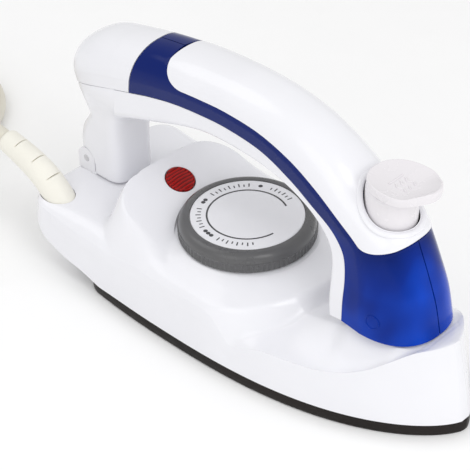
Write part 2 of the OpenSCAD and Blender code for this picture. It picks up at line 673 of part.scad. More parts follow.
// The lead inside the tail, held down by the clamp, and its two wires
module inner_lead() {
    color("#f3efdf") translate([-76, relief_y, 20.2]) rotate([0, 90, 0])
        cylinder(d = cord_d, h = 16);
}
module wire(route, paint) {
    n = 3 * (len(route) - 1);
    path = [for (i = [0:n]) along(route, i / 3)];
    color(paint) sweep_tube(path, [for (p = path) 1], 6);
}
module wire_live() {
    wire([[-58.9, -28.4, 19.2], [-57, -24, 15.5], [-57.5, -18.8, 12.6], [-59.8, -17, 10.2],
          [-59.2, -17, 8.6]], "#7a4a2a");
}
module wire_neutral() {
    wire([[-58.9, -25.2, 21.2], [-53, -12, 21.5], [-54, 6, 20], [-57, 15, 14], [-59.8, 17, 10.2],
          [-59.2, 17, 8.6]], "#3a62b0");
}

// Free lead: from the sleeve down to the surface, into the coil, and from its top to the plug
coil_c = [-204, -14];
coil_low = 0.8;
turn_r = [43.5, 25.5];             // outermost and innermost turn of the lower layer
layer = 5.2;                       // height between the two layers
cord_route = [[-109.9, -27, 39.5], [-115.8, -27, 40.4], [-121.8, -27, 40], [-127.5, -27.4, 38.1],
    [-132.7, -28.2, 35], [-138, -29.7, 30.4], [-145, -32.6, 23.4], [-152, -36.8, 16.6],
    [-159.7, -42.4, 10.4], [-168, -48.8, 6], [-177.5, -54.6, 4], [-188, -57.8, 3.8],
    [-199, -58.6, 3.8], [-210, -57.1, 3.8]];
tail_route = [[20, 35, 9], [27.8, 28, 10.6], [32.6, 19, 13.4], [33.8, 8.6, 16.4],
    [30.8, -2, 18.4], [24, -10.6, 19], [14.4, -16.4, 19], [4.5, -17.4, 19]];
module cord() {
    n = 2 * (len(cord_route) - 1);
    path = [for (i = [0:n]) along(cord_route, i / 2)];
    color("#f3efdf") sweep_tube(path, [for (p = path) cord_d / 2], 8);
}
module cord_tail() {
    n = 2 * (len(tail_route) - 1);
    path = [for (i = [0:n]) along(tail_route, i / 2) + [coil_c[0], coil_c[1], 0]];
    color("#f3efdf") sweep_tube(path, [for (p = path) cord_d / 2], 8);
}
module cord_coil() {
    color("#f3efdf") translate([coil_c[0], coil_c[1], coil_low]) rotate_extrude($fn = 64)
        translate([turn_r[1] - cord_d / 2, 0])
            square([turn_r[0] - turn_r[1] + cord_d, cord_d + layer]);
}
tie_w = 7;
tie_t = 0.7;
module coil_tie() {
    l = turn_r[0] - turn_r[1] + cord_d + 0.6;
    h = cord_d + layer;
    color("#5a5a5e") translate([coil_c[0], coil_c[1], 0]) rotate([0, 0, 125])
        translate([turn_r[1] - cord_d / 2 - 1.1, -tie_w / 2, 0]) difference() {
            cube([l + 2 * tie_t + 0.4, tie_w, h + 2 * tie_t + 0.2]);
            translate([tie_t, -1, tie_t]) cube([l + 0.4, tie_w + 2, h + 0.2]);
        }
}

// Two-pin plug that lies on the coil, its pins to -X
plug_rear = [4, -17.4, 19];         // middle of the plug's rear face, from the coil's centre
plug_l = 36;
plug_w = 35.3;
plug_t = 13.7;
plug_pin_d = 4;
plug_pin_l = 19;
plug_pin_gap = 18.6;
pin_root_r = 1.6;                  // part of each pin inside the plug
module plug_frame() {
    translate([coil_c[0] + plug_rear[0], coil_c[1] + plug_rear[1], plug_rear[2]]) children();
}
module plug_body() {
    nose = 9;
    color("#f0eee6") plug_frame() difference() {
        translate([0, 0, -plug_t / 2]) linear_extrude(plug_t) polygon([[0, 5], [-12, 7],
            [-22, plug_w / 2 - 3], [-26, plug_w / 2], [-plug_l, plug_w / 2],
            [-plug_l, -plug_w / 2], [-26, -plug_w / 2], [-22, 3 - plug_w / 2], [-12, -7],
            [0, -5]]);
        for (s = [-1, 1]) translate([-plug_l - 1, s * plug_pin_gap / 2, 0])
            rotate([0, 90, 0]) cylinder(r = pin_root_r, h = nose);
    }
}
module plug_pins() {
    color("#c9a94e") plug_frame() for (s = [-1, 1])
        translate([-plug_l - plug_pin_l, s * plug_pin_gap / 2, 0]) rotate([0, 90, 0]) {
            cylinder(d = plug_pin_d, h = plug_pin_l);
            cylinder(r = pin_root_r, h = plug_pin_l + 8);
        }
}

soleplate();
heating_element();
element_pins();
chamber_cover();
chamber_screws();
steam_inlet();
inlet_seal();
heat_shield();
thermostat();
thermal_fuse();
body_shell();
rear_cover();
cover_screws();
lamp_lens();
neon_lamp();
lamp_holder();
terminal_block();
wire_live();
wire_neutral();
cord_clamp();
clamp_screws();
inner_lead();
hinge_bracket();
hinge_pin();
thermostat_shaft();
dial_knob();
dial_disc();
lower_handle();
rear_cap();
tank_left();
tank_right();
grip_inlay();
valve_guide();
drip_nozzle();
steam_button();
needle_valve();
spring_washer();
button_spring();
strain_relief();
cord();
cord_tail();
cord_coil();
coil_tie();
plug_body();
plug_pins();
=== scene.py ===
import math

import bmesh
import bpy
import numpy as np
from mathutils import Matrix, Vector
from mathutils.bvhtree import BVHTree


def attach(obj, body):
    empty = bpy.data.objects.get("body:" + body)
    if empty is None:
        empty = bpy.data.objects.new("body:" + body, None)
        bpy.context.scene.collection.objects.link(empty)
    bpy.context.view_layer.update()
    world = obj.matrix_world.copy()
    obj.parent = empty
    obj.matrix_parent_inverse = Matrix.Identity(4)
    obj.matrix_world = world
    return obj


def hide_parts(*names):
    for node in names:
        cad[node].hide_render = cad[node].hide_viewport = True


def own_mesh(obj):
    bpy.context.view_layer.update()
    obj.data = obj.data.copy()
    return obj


# Visual model of a folding travel steam iron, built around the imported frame. Lengths in this
# script are millimetres in the frame's axes; MM turns them into metres as each mesh is made.
MM = 0.001
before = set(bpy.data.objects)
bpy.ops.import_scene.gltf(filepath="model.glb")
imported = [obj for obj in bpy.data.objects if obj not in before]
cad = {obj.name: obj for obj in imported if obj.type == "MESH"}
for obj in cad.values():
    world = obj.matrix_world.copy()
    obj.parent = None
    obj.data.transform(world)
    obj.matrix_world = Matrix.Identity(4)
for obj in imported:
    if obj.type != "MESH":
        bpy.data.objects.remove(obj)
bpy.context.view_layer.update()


# ---------- camera ----------

def place_camera():
    """Camera at the photograph's angle: azimuth, elevation and roll in degrees."""
    azimuth, elevation, roll = (math.radians(v) for v in (45.07, 37.448, -1.564))
    back = Vector((math.sin(azimuth) * math.cos(elevation),
                   -math.cos(azimuth) * math.cos(elevation), math.sin(elevation)))
    level = Vector((math.cos(azimuth), math.sin(azimuth), 0))
    rise = back.cross(level)
    right = math.cos(roll) * level + math.sin(roll) * rise
    up = math.cos(roll) * rise - math.sin(roll) * level
    camera = bpy.data.objects.new("camera", bpy.data.cameras.new("camera"))
    bpy.context.scene.collection.objects.link(camera)
    turn = Matrix((right, up, back)).transposed().to_4x4()
    camera.matrix_world = Matrix.Translation(Vector((328.776, -344.457, 400.281)) * MM) @ turn
    camera.data.sensor_width = 36
    camera.data.lens = 130.995
    camera.data.clip_start = 0.01
    bpy.context.scene.camera = camera


place_camera()


# ---------- number helpers ----------

def ease(a, b, x):
    u = np.clip((x - a) / (b - a), 0, 1)
    return u * u * (3 - 2 * u)


def mix(a, b, u):
    return a + (b - a) * u


def lookup(x, table):
    t = np.array(table, float)
    return np.interp(x, t[:, 0], t[:, 1])


def along(values, t):
    """Catmull-Rom curve through all values at the whole numbers of t."""
    v = np.array(values, float)
    t = np.asarray(t, float)
    n = len(v) - 1
    i = np.clip(np.floor(t).astype(int), 0, n - 1)
    f = t - i
    a, b, c, d = v[np.maximum(i - 1, 0)], v[i], v[i + 1], v[np.minimum(i + 2, n)]
    if v.ndim > 1:
        f = f[..., None]
    return b + 0.5 * f * (c - a + f * (2 * a - 5 * b + 4 * c - d + f * (3 * (b - c) + d - a)))


def circle_angles(sides):
    return np.linspace(0, 2 * math.pi, sides, endpoint=False)


def rounded(angles, power):
    """Cosine and sine of a rounded square: power 2 is a circle, more has flatter sides."""
    c, s = np.cos(angles), np.sin(angles)
    return np.sign(c) * np.abs(c) ** (2 / power), np.sign(s) * np.abs(s) ** (2 / power)


def tilted(x, y, z, degrees, axis="Y"):
    """Transform that turns a mesh about an axis through its origin and puts it at a place."""
    return Matrix.Translation(Vector((x, y, z)) * MM) @ Matrix.Rotation(math.radians(degrees), 4, axis)


# ---------- mesh helpers ----------

def build(name, verts, faces, body, slot=None, replaces=(), material=None, sharp=40):
    """Links a mesh given in millimetres as one piece that rides on a body."""
    mesh = bpy.data.meshes.new(name)
    mesh.from_pydata([tuple(float(c) * MM for c in v) for v in verts], [], faces)
    mesh.update()
    obj = bpy.data.objects.new(name, mesh)
    bpy.context.scene.collection.objects.link(obj)
    tidy(obj)
    shade(obj, sharp)
    return dress(obj, body, replaces, material)


def dress(obj, body, replaces, material):
    if body:
        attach(obj, body)
    if replaces:
        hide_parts(*replaces)
    if material:
        obj.data.materials.clear()
        obj.data.materials.append(material)
    return obj


def tidy(obj):
    """Merges doubled points and turns all faces outward."""
    bm = bmesh.new()
    bm.from_mesh(obj.data)
    bmesh.ops.remove_doubles(bm, verts=bm.verts, dist=1e-6)
    bmesh.ops.dissolve_degenerate(bm, edges=bm.edges, dist=1e-6)
    bmesh.ops.recalc_face_normals(bm, faces=bm.faces)
    bm.to_mesh(obj.data)
    bm.free()


def shade(obj, sharp):
    """Smooth shading, with a crisp line at each edge sharper than an angle in degrees."""
    bm = bmesh.new()
    bm.from_mesh(obj.data)
    limit = math.radians(sharp)
    for f in bm.faces:
        f.smooth = True
    for e in bm.edges:
        e.smooth = not (len(e.link_faces) == 2 and e.calc_face_angle(0) > limit)
    bm.to_mesh(obj.data)
    bm.free()


def apply_modifiers(obj):
    graph = bpy.context.evaluated_depsgraph_get()
    graph.update()
    mesh = bpy.data.meshes.new_from_object(obj.evaluated_get(graph))
    obj.modifiers.clear()
    obj.data = mesh


def cut(obj, tools, operation="DIFFERENCE"):
    """Cuts (or joins) temporary tool objects and removes them."""
    for tool in tools:
        m = obj.modifiers.new("cut", "BOOLEAN")
        m.operation = operation
        m.solver = "MANIFOLD"
        m.object = tool
        apply_modifiers(obj)
        bpy.data.objects.remove(tool)
    tidy(obj)


def bevel(obj, width):
    """Rounds every edge sharper than 30 degrees."""
    m = obj.modifiers.new("bevel", "BEVEL")
    m.width = width * MM
    m.segments = 3
    m.limit_method = "ANGLE"
    m.angle_limit = math.radians(30)
    m.harden_normals = False
    apply_modifiers(obj)


def join(obj, *others):
    """Adds other objects' meshes to one object and removes them."""
    bm = bmesh.new()
    bm.from_mesh(obj.data)
    for o in others:
        bm.from_mesh(o.data)
        bpy.data.objects.remove(o)
    bm.to_mesh(obj.data)
    bm.free()
    return obj


def flat_shape(outline, z, h):
    """Closed plate of height h above z from an outline of (x, y) points."""
    n = len(outline)
    pts = [(x, y, z) for x, y in outline] + [(x, y, z + h) for x, y in outline]
    faces = [list(range(n))[::-1], list(range(n, 2 * n))]
    faces += [[k, (k + 1) % n, n + (k + 1) % n, n + k] for k in range(n)]
    return pts, faces


def tool_cylinder(radius, low, high, sides=96):
    """Closed cylinder round Z, to cut or add with."""
    ring = [(radius * math.cos(a), radius * math.sin(a)) for a in circle_angles(sides)]
    return build("tool", *flat_shape(ring, low, high - low), None)


def upright(radius, low, high, x, y=0, sides=48):
    """Vertical cylinder at a place."""
    tool = tool_cylinder(radius, low, high, sides)
    tool.data.transform(Matrix.Translation(Vector((x, y, 0)) * MM))
    return tool


def tool_box(low, high):
    (a, b, c), (d, e, f) = low, high
    pts = [(x, y, z) for x in (a, d) for y in (b, e) for z in (c, f)]
    faces = [[0, 1, 3, 2], [4, 6, 7, 5], [0, 4, 5, 1], [2, 3, 7, 6], [0, 2, 6, 4], [1, 5, 7, 3]]
    return build("tool", pts, faces, None)


def grid_faces(n, m, first=0, flip=False, wrap=False):
    """Quads of a grid of n rows of m points; wrap closes each row."""
    out = []
    for i in range(n - 1):
        row, above = first + i * m, first + (i + 1) * m
        for j in range(m if wrap else m - 1):
            k = (j + 1) % m
            quad = [row + j, row + k, above + k, above + j]
            out.append(quad[::-1] if flip else quad)
    return out


def closed_band(rings):
    """Points and faces of a closed hoop: rings of equal size, the last joined to the first."""
    rings = np.array(rings)
    n, m = rings.shape[:2]
    faces = [[i * m + j, i * m + (j + 1) % m, (i + 1) % n * m + (j + 1) % m, (i + 1) % n * m + j]
             for i in range(n) for j in range(m)]
    return rings.reshape(-1, 3), faces


def span_faces(first, m):
    """Faces across an open row of m points, from each point to its opposite one."""
    out = []
    for j in range(m // 2 - 1):
        p, q = first + j, first + m - 1 - j
        out.append([p, q, q - 1, p + 1] if q - 1 > p + 1 else [p, q, p + 1])
    return out


def cup(outer, inner):
    """Points and faces of a closed wall between two grids that are open along their edge columns."""
    n, m = outer.shape[:2]
    base = n * m
    last = (n - 1) * m
    faces = grid_faces(n, m) + grid_faces(n, m, base, True)
    for i in range(n - 1):
        left, right = i * m, i * m + m - 1
        faces.append([left, left + m, base + left + m, base + left])
        faces.append([base + right, base + right + m, right + m, right])
    for first, flip in ((0, False), (base, True), (last, True), (base + last, False)):
        faces += [face[::-1] if flip else face for face in span_faces(first, m)]
    faces.append([0, base, base + m - 1, m - 1])
    faces.append([last, last + m - 1, base + last + m - 1, base + last])
    return np.concatenate([outer.reshape(-1, 3), inner.reshape(-1, 3)]), faces


def capped_rings(rings):
    """Points and faces of a closed body from a stack of rings of equal size."""
    rings = np.array(rings)
    n, m = rings.shape[:2]
    verts = np.concatenate([rings.reshape(-1, 3), rings[0].mean(0)[None], rings[-1].mean(0)[None]])
    faces = grid_faces(n, m, wrap=True)
    a, b = n * m, n * m + 1
    faces += [[a, (k + 1) % m, k] for k in range(m)]
    faces += [[b, (n - 1) * m + k, (n - 1) * m + (k + 1) % m] for k in range(m)]
    return verts, faces


def level_ring(x, y, z):
    return np.stack([x, y, z + 0 * x], 1)


def revolve(profile, centre_x, sides, inset=None):
    """Closed body turned about Z from (radius, z) points; inset gives ribs round it."""
    angle = circle_angles(sides)
    rings = []
    for r, z in profile:
        radius = r - (inset(angle, r, z) if inset else 0)
        rings.append(level_ring(centre_x + radius * np.cos(angle), radius * np.sin(angle), z))
    return capped_rings(rings)


def tube(path, radius, sides=24):
    """Round tube along points, its ring kept from twisting; radius is a number or one per point."""
    p = np.array(path, float)
    radius = np.broadcast_to(radius, len(p))
    head = np.gradient(p, axis=0)
    head /= np.linalg.norm(head, axis=1)[:, None]
    side = np.cross([0.13, 0.21, 1.0], head[0])
    a = circle_angles(sides)
    rings = []
    for c, h, r in zip(p, head, radius):
        side = side - h * side.dot(h)
        side /= np.linalg.norm(side)
        up = np.cross(h, side)
        rings.append(c + r * (np.cos(a)[:, None] * side + np.sin(a)[:, None] * up))
    return capped_rings(rings)


# ---------- materials ----------

def new_material(name):
    m = bpy.data.materials.new(name)
    m.use_nodes = True
    return m, m.node_tree.nodes, m.node_tree.links, m.node_tree.nodes["Principled BSDF"]


def noise(nodes, links, scale, detail=4, rough=0.5, stretch=(1, 1, 1)):
    """Noise in the object's own coordinates; scale is in features per metre."""
    coord = nodes.new("ShaderNodeTexCoord")
    place = nodes.new("ShaderNodeMapping")
    place.inputs["Scale"].default_value = stretch
    tex = nodes.new("ShaderNodeTexNoise")
    tex.inputs["Scale"].default_value = scale
    tex.inputs["Detail"].default_value = detail
    tex.inputs["Roughness"].default_value = rough
    links.new(coord.outputs["Object"], place.inputs["Vector"])
    links.new(place.outputs["Vector"], tex.inputs["Vector"])
    return tex


def ramp(nodes, links, source, stops):
    """Colours blended along a 0 to 1 value, from (place, colour) stops."""
    r = nodes.new("ShaderNodeValToRGB")
    e = r.color_ramp.elements
    while len(e) < len(stops):
        e.new(0.5)
    for el, (pos, col) in zip(e, stops):
        el.position = pos
        el.color = (*col, 1)
    links.new(source, r.inputs["Fac"])
    return r


def surface(name, colour, rough, grain=900, depth=0.02, spread=0.03, rough_spread=0.05,
            metallic=0.0, coat=0.0, stretch=(1, 1, 1), transmission=0.0, specular=0.5):
    """Moulded, cast or turned material: colour and gloss vary a little, with a fine bump."""
    m, nodes, links, b = new_material(name)
    b.inputs["Metallic"].default_value = metallic
    b.inputs["Coat Weight"].default_value = coat
    b.inputs["Coat Roughness"].default_value = 0.08
    b.inputs["Transmission Weight"].default_value = transmission
    b.inputs["IOR"].default_value = 1.47
    b.inputs["Specular IOR Level"].default_value = specular
    if colour:
        soft = noise(nodes, links, 35, 2, stretch=stretch)
        dark = [c * (1 - spread) for c in colour]
        light = [min(1, c * (1 + spread)) for c in colour]
        tint = ramp(nodes, links, soft.outputs["Fac"], [(0.35, dark), (0.65, light)])
        links.new(tint.outputs["Color"], b.inputs["Base Color"])
    wear = noise(nodes, links, 140, 5, 0.6, stretch)
    low, high = max(0.02, rough - rough_spread), min(1, rough + rough_spread)
    gloss = ramp(nodes, links, wear.outputs["Fac"], [(0.3, (low,) * 3), (0.7, (high,) * 3)])
    links.new(gloss.outputs["Color"], b.inputs["Roughness"])
    fine = noise(nodes, links, grain, 3, 0.55, stretch)
    bump = nodes.new("ShaderNodeBump")
    bump.inputs["Strength"].default_value = depth
    bump.inputs["Distance"].default_value = 0.0004
    links.new(fine.outputs["Fac"], bump.inputs["Height"])
    links.new(bump.outputs["Normal"], b.inputs["Normal"])
    return m


def lens_material():
    """Clear red, with painted shade: darker lines along the ribs."""
    m = surface("lens_plastic", None, 0.2, 900, 0.03, rough_spread=0.04, specular=0.25)
    nodes, links = m.node_tree.nodes, m.node_tree.links
    coord = nodes.new("ShaderNodeTexCoord")
    wave = nodes.new("ShaderNodeTexWave")
    wave.bands_direction = "X"
    wave.inputs["Scale"].default_value = 262
    links.new(coord.outputs["Object"], wave.inputs["Vector"])
    # Painted shade: the dark stops fall along the rib grooves
    stops = [(0.1, (0.15, 0.001, 0.001)), (0.5, (0.33, 0.003, 0.002)), (0.95, (0.42, 0.005, 0.003))]
    tint = ramp(nodes, links, wave.outputs["Fac"], stops)
    links.new(tint.outputs["Color"], nodes["Principled BSDF"].inputs["Base Color"])
    return m


def tank_material():
    """Deep navy, with painted light: brighter patches low down and forward, where light comes through
    the tank.
    """
    m = surface("tank_plastic", None, 0.09, 700, 0.02, rough_spread=0.03, specular=0.14)
    nodes, links = m.node_tree.nodes, m.node_tree.links
    painted_light_patch = noise(nodes, links, 42, 2, 0.45, (1, 1, 0.7))
    coord = nodes.new("ShaderNodeTexCoord")
    parts = nodes.new("ShaderNodeSeparateXYZ")
    links.new(coord.outputs["Object"], parts.inputs["Vector"])
    total = painted_light_patch.outputs["Fac"]
    # Painted light: the colour brightens lower down (Z) and further forward (X)
    painted_light_fades = (("Z", 0.078, 0.050, -0.3, 0.14), ("X", 0.046, 0.064, -0.08, 0.06))
    for axis, far, near, low, high in painted_light_fades:
        gradient = nodes.new("ShaderNodeMapRange")
        for name, value in (("From Min", far), ("From Max", near), ("To Min", low), ("To Max", high)):
            gradient.inputs[name].default_value = value
        links.new(parts.outputs[axis], gradient.inputs["Value"])
        add = nodes.new("ShaderNodeMath")
        add.operation = "ADD"
        links.new(total, add.inputs[0])
        links.new(gradient.outputs["Result"], add.inputs[1])
        total = add.outputs["Value"]
    stops = [(0.36, (0.001, 0.012, 0.13)), (0.58, (0.001, 0.022, 0.24)), (0.82, (0.002, 0.060, 0.55))]
    tint = ramp(nodes, links, total, stops)
    links.new(tint.outputs["Color"], nodes["Principled BSDF"].inputs["Base Color"])
    return m


WHITE = surface("white_plastic", (0.83, 0.83, 0.865), 0.22, 1300, 0.03, 0.012, 0.05, coat=0.35)
BUTTON = surface("button_plastic", (0.78, 0.755, 0.78), 0.26, 1100, 0.04, 0.015, 0.05, coat=0.2)
SOLE = surface("sole_coating", (0.009, 0.006, 0.005), 0.45, 2600, 0.18, 0.3, 0.10, specular=0.25)
KNOB = surface("knob_plastic", (0.10, 0.10, 0.103), 0.30, 1700, 0.05, 0.05, 0.07, coat=0.2)
DISC = surface("disc_plastic", (0.80, 0.80, 0.83), 0.36, 1500, 0.04, 0.012, 0.05)
PRINT = surface("dial_print", (0.06, 0.06, 0.065), 0.5, 1500, 0.04, 0.05, 0.05)
BLUE = tank_material()
RED = lens_material()
CREAM = surface("sleeve_plastic", (0.86, 0.84, 0.76), 0.45, 1500, 0.10, 0.03, 0.06)
CORD = surface("cord_sheath", (0.72, 0.69, 0.60), 0.42, 2200, 0.10, 0.03, 0.06)
PLUG = surface("plug_plastic", (0.72, 0.70, 0.62), 0.38, 1400, 0.08, 0.02, 0.06)
STRAP = surface("tie_plastic", (0.035, 0.035, 0.038), 0.5, 1800, 0.12, 0.08, 0.06)
STEEL = surface("steel", (0.58, 0.58, 0.60), 0.28, 1500, 0.10, 0.05, 0.08, 1.0, stretch=(1, 1, 12))
ALLOY = surface("alloy_sheet", (0.70, 0.71, 0.73), 0.36, 900, 0.10, 0.06, 0.10, 1.0, stretch=(8, 1, 1))
TUBE = surface("element_tube", (0.24, 0.23, 0.23), 0.5, 1200, 0.2, 0.2, 0.1, 0.9)
ZINC = surface("zinc_screw", (0.66, 0.66, 0.70), 0.32, 1600, 0.08, 0.08, 0.1, 1.0)
BRASS = surface("brass_pin", (0.80, 0.58, 0.25), 0.22, 1500, 0.06, 0.06, 0.08, 1.0)
CERAMIC = surface("ceramic", (0.74, 0.69, 0.58), 0.62, 1300, 0.25, 0.06, 0.06)
SILICONE = surface("silicone", (0.74, 0.72, 0.66), 0.55, 1500, 0.15, 0.04, 0.05)
MOULDED = surface("inner_plastic", (0.76, 0.76, 0.77), 0.4, 1300, 0.08, 0.03, 0.06)
GLASS = surface("neon_glass", (1.0, 0.55, 0.35), 0.08, 700, 0.02, 0.05, 0.03, transmission=0.8)
BROWN = surface("wire_brown", (0.10, 0.04, 0.02), 0.45, 1500, 0.1, 0.1, 0.06)
BLUE_WIRE = surface("wire_blue", (0.02, 0.06, 0.30), 0.45, 1500, 0.1, 0.1, 0.06)


# ---------- mains lead ----------

SLEEVE_PATH = [(-78.5, 23.5), (-82, 27.4), (-86.3, 31.2), (-91, 33.9), (-96.5, 36),
               (-103, 37.8), (-109.6, 39.4)]
RELIEF_Y = -27
SLEEVE_R, SLEEVE_TIP = 5.6, 4.5
CORD_R = 3
CORD_ROUTE = [(-109.9, -27, 39.5), (-115.8, -27, 40.4), (-121.8, -27, 40), (-127.5, -27.4, 38.1),
              (-132.7, -28.2, 35), (-138, -29.7, 30.4), (-145, -32.6, 23.4), (-152, -36.8, 16.6),
              (-159.7, -42.4, 10.4), (-168, -48.8, 6), (-177.5, -54.6, 4), (-188, -57.8, 3.8),
              (-199, -58.6, 3.8), (-210, -57.1, 3.8)]
TAIL_ROUTE = [(20, 35, 9), (27.8, 28, 10.6), (32.6, 19, 13.4), (33.8, 8.6, 16.4),
              (30.8, -2, 18.4), (24, -10.6, 19), (14.4, -16.4, 19), (4.5, -17.4, 19)]
COIL = np.array((-204.0, -14.0, 0.0))
# Radius and height of each turn: four inward on the floor, then three outward on top of them
COIL_R = [43.5, 37.5, 31.5, 25.5, 28.5, 34.5, 40.5]
COIL_Z = [3.8, 3.8, 3.8, 3.8, 9.0, 9.0, 9.0]


def coil_path():
    """Turns of the coil, clockwise from the end of the route to the start of the tail."""
    last = len(COIL_R) - 1
    start = math.degrees(math.atan2(CORD_ROUTE[-1][1] - COIL[1], CORD_ROUTE[-1][0] - COIL[0]))
    end = math.degrees(math.atan2(TAIL_ROUTE[0][1], TAIL_ROUTE[0][0]))
    turns = last + (start - end) % 360 / 360
    pts = []
    for t in np.arange(0.02, turns - 0.015, 1 / 40):
        k = int(t)
        following = min(k + 1, last)
        share = ease(0.8, 1.0, t - k)
        r = mix(COIL_R[k], COIL_R[following], share)
        z = mix(COIL_Z[k], COIL_Z[following], share)
        a = math.radians(start - 360 * t)
        pts.append(COIL + (r * math.cos(a), r * math.sin(a), z))
    return pts


def make_lead():
    """The whole lead as one tube, with its centreline and its length in metres."""
    route = along(CORD_ROUTE, np.arange(0, len(CORD_ROUTE) - 1 + 0.01, 0.25))
    tail = along(np.array(TAIL_ROUTE) + COIL, np.arange(0, len(TAIL_ROUTE) - 1 + 0.01, 0.25))
    path = np.concatenate([route, coil_path(), tail])
    verts, faces = tube(path, CORD_R, 20)
    lead = build("lead", verts, faces, "base", "cord_pvc", ("cord", "cord_coil", "cord_tail"), CORD)
    length = np.linalg.norm(np.diff(path, axis=0), axis=1).sum() * MM
    return lead, path, length


def make_sleeve():
    """Tapered sleeve with crosswise slits, where the lead leaves the housing."""
    n = len(SLEEVE_PATH) - 1
    t = np.linspace(0, n, 72)
    flat = along(SLEEVE_PATH, t)
    path = np.stack([flat[:, 0], np.full(len(t), RELIEF_Y), flat[:, 1]], 1)
    radii = mix(SLEEVE_R, SLEEVE_TIP, (t / n) ** 2)
    radii[-3:] -= (0.15, 0.45, 1.0)  # the rounded tip
    sleeve = build("sleeve", *tube(path, radii, 64), None, sharp=50)
    tools = []
    slits_above, slits_below = (1.95, 3.4, 4.85), (2.65, 4.1)
    for place, side in [(p, 1) for p in slits_above] + [(p, -1) for p in slits_below]:
        c, ahead = along(SLEEVE_PATH, place), along(SLEEVE_PATH, place + 0.2)
        slope = math.degrees(math.atan2(ahead[1] - c[1], ahead[0] - c[0]))
        r = float(mix(SLEEVE_R, SLEEVE_TIP, (place / n) ** 2))
        low, high = sorted((side * (r - 1.3), side * (r + 2)))
        box = tool_box((-0.24, -r * 0.9, low), (0.24, r * 0.9, high))
        box.data.transform(tilted(c[0], RELIEF_Y, c[1], 180 - slope))
        tools.append(box)
    cut(sleeve, tools)
    shade(sleeve, 50)
    dress(sleeve, "base", ("strain_relief",), CREAM)


def make_tie():
    """Strap round the coil's section, with rounded corners and a small buckle."""
    inner, outer = COIL_R[3] - CORD_R - 0.45, COIL_R[0] + CORD_R + 0.4
    low, top = 0.35, COIL_Z[4] + CORD_R + 0.55
    bend = 3.0
    mid = []
    for cx, cz, first in ((outer - bend, top - bend, 0), (inner + bend, top - bend, 90),
                          (inner + bend, low + bend, 180), (outer - bend, low + bend, 270)):
        for a in np.radians(np.linspace(first, first + 90, 10)):
            mid.append((cx + bend * math.cos(a), cz + bend * math.sin(a)))
    mid = np.array(mid)
    out = np.roll(mid, -1, 0) - np.roll(mid, 1, 0)
    out /= np.linalg.norm(out, axis=1)[:, None]
    normal = np.stack([out[:, 1], -out[:, 0]], 1)
    half_w, half_t, chamfer = 3.4, 0.33, 0.25
    corner = [(half_w - chamfer, -half_t), (half_w, -half_t * 0.4)]
    section = [(-a, b) for a, b in corner[::-1]] + corner
    section += [(a, -b) for a, b in section[::-1]]
    rings = [[(p[0] + n[0] * b, a, p[1] + n[1] * b) for a, b in section] for p, n in zip(mid, normal)]
    tie = build("tie", *closed_band(rings), None)
    buckle = tool_box((33, -4.4, top - 0.2), (38.5, 4.4, top + 1.2))
    bevel(buckle, 0.5)
    join(tie, buckle)
    tie.data.transform(tilted(*COIL, 125, "Z"))
    shade(tie, 50)
    return dress(tie, "base", ("coil_tie",), STRAP)


def make_plug():
    """Moulded plug body: a neck that widens to the pin face, rounded all over."""
    # Along the plug from its neck: place, half-width, half-thickness
    stations = [(0, 4.4, 4.2), (-1, 4.9, 4.6), (-6, 5.5, 5.2), (-12, 7.5, 5.9), (-18, 11.8, 6.5),
                (-23, 15.6, 6.8), (-27, 17.3, 6.85), (-33, 17.65, 6.85), (-35.4, 17.3, 6.5),
                (-36, 16.6, 5.9)]
    rear = COIL + TAIL_ROUTE[-1] - (0.5, 0, 0)
    a = circle_angles(64)
    rings = []
    for x, half_w, half_t in along(stations, np.linspace(0, len(stations) - 1, 60)):
        c, s = rounded(a, mix(2.0, 4.5, float(ease(-8, -24, x))))
        rings.append(rear + np.stack([x + 0 * c, half_w * c, half_t * s], 1))
    return build("plug", *capped_rings(rings), "base", "plug_cream", ("plug_body",), PLUG)


lead, lead_path, lead_length = make_lead()
make_sleeve()
tie = make_tie()
plug = make_plug()


# ---------- housing ----------

NOSE_X, HEEL_X, HALF_W, TAIL_R = 90.0, -90.0, 36.9, 9.0
SOLE_T, SOLE_L, CORNER_R = 4.8, 152.0, 10.0
WIDEST = 111.8  # from the nose back to the widest place
SHELL_WALL, ROOF, PLATFORM_Z, DECK_Z = 2.2, 2.0, 32.0, 27.6
DIAL_X, DIAL_R, POCKET_R = -10.0, 25.0, 26.2
VALVE_X, LAMP_X, LAMP_Z, LAMP_TILT, LAMP_R = 54.5, -44.0, 38.0, 22.0, 5.5
# Hump with the lamp: its top, and the rounded rectangle that it covers
HUMP_TOP, HUMP_X, HUMP_HALF, HUMP_R = 43.6, -40.5, 16, 15
# Where the flat round the dial starts to fall into the scoop, and where the scoop is full
SCOOP_FROM, SCOOP_FULL = 37.5, 43
WALL_ROWS, TOP_ROWS = 8, 70
# Heights along X: the lower edge of the tail, the scoop's middle and the scoop's sides
TAIL_EDGE = [(-90, 24.6), (-87.4, 19.3), (-80.6, 12.4), (-70.8, 8.8), (-61.5, 7.4), (-52, SOLE_T)]
SADDLE = [(26, 23.5), (34, 25.5), (41, 27.4), (47, 29), (52, 32.6), (79.5, 33.1), (83, 34.4),
          (90, 35.2)]
SKIRT = [(0, 17), (20, 19), (48, 20), (58, 22), (66, 25.5), (73, 30), (80, 34.2), (90, 35)]


def fillet(distance, radius):
    """How far a rounded edge has dropped at a distance in from it."""
    return radius - np.sqrt(np.clip(radius ** 2 - (radius - distance) ** 2, 0, None))


def sole_half(x):
    """Half-width of the soleplate: a pointed arch in front and a slight taper behind."""
    s = NOSE_X - np.asarray(x, float)
    near = np.clip(1 - np.clip(s, 0, None) / WIDEST, 0, 1)
    front = HALF_W * (1 - near ** 2.75) ** 0.68
    back = HALF_W * (1 - 0.07 * ((s - WIDEST) / (SOLE_L - WIDEST)) ** 2)
    return np.where(s < WIDEST, front, back)


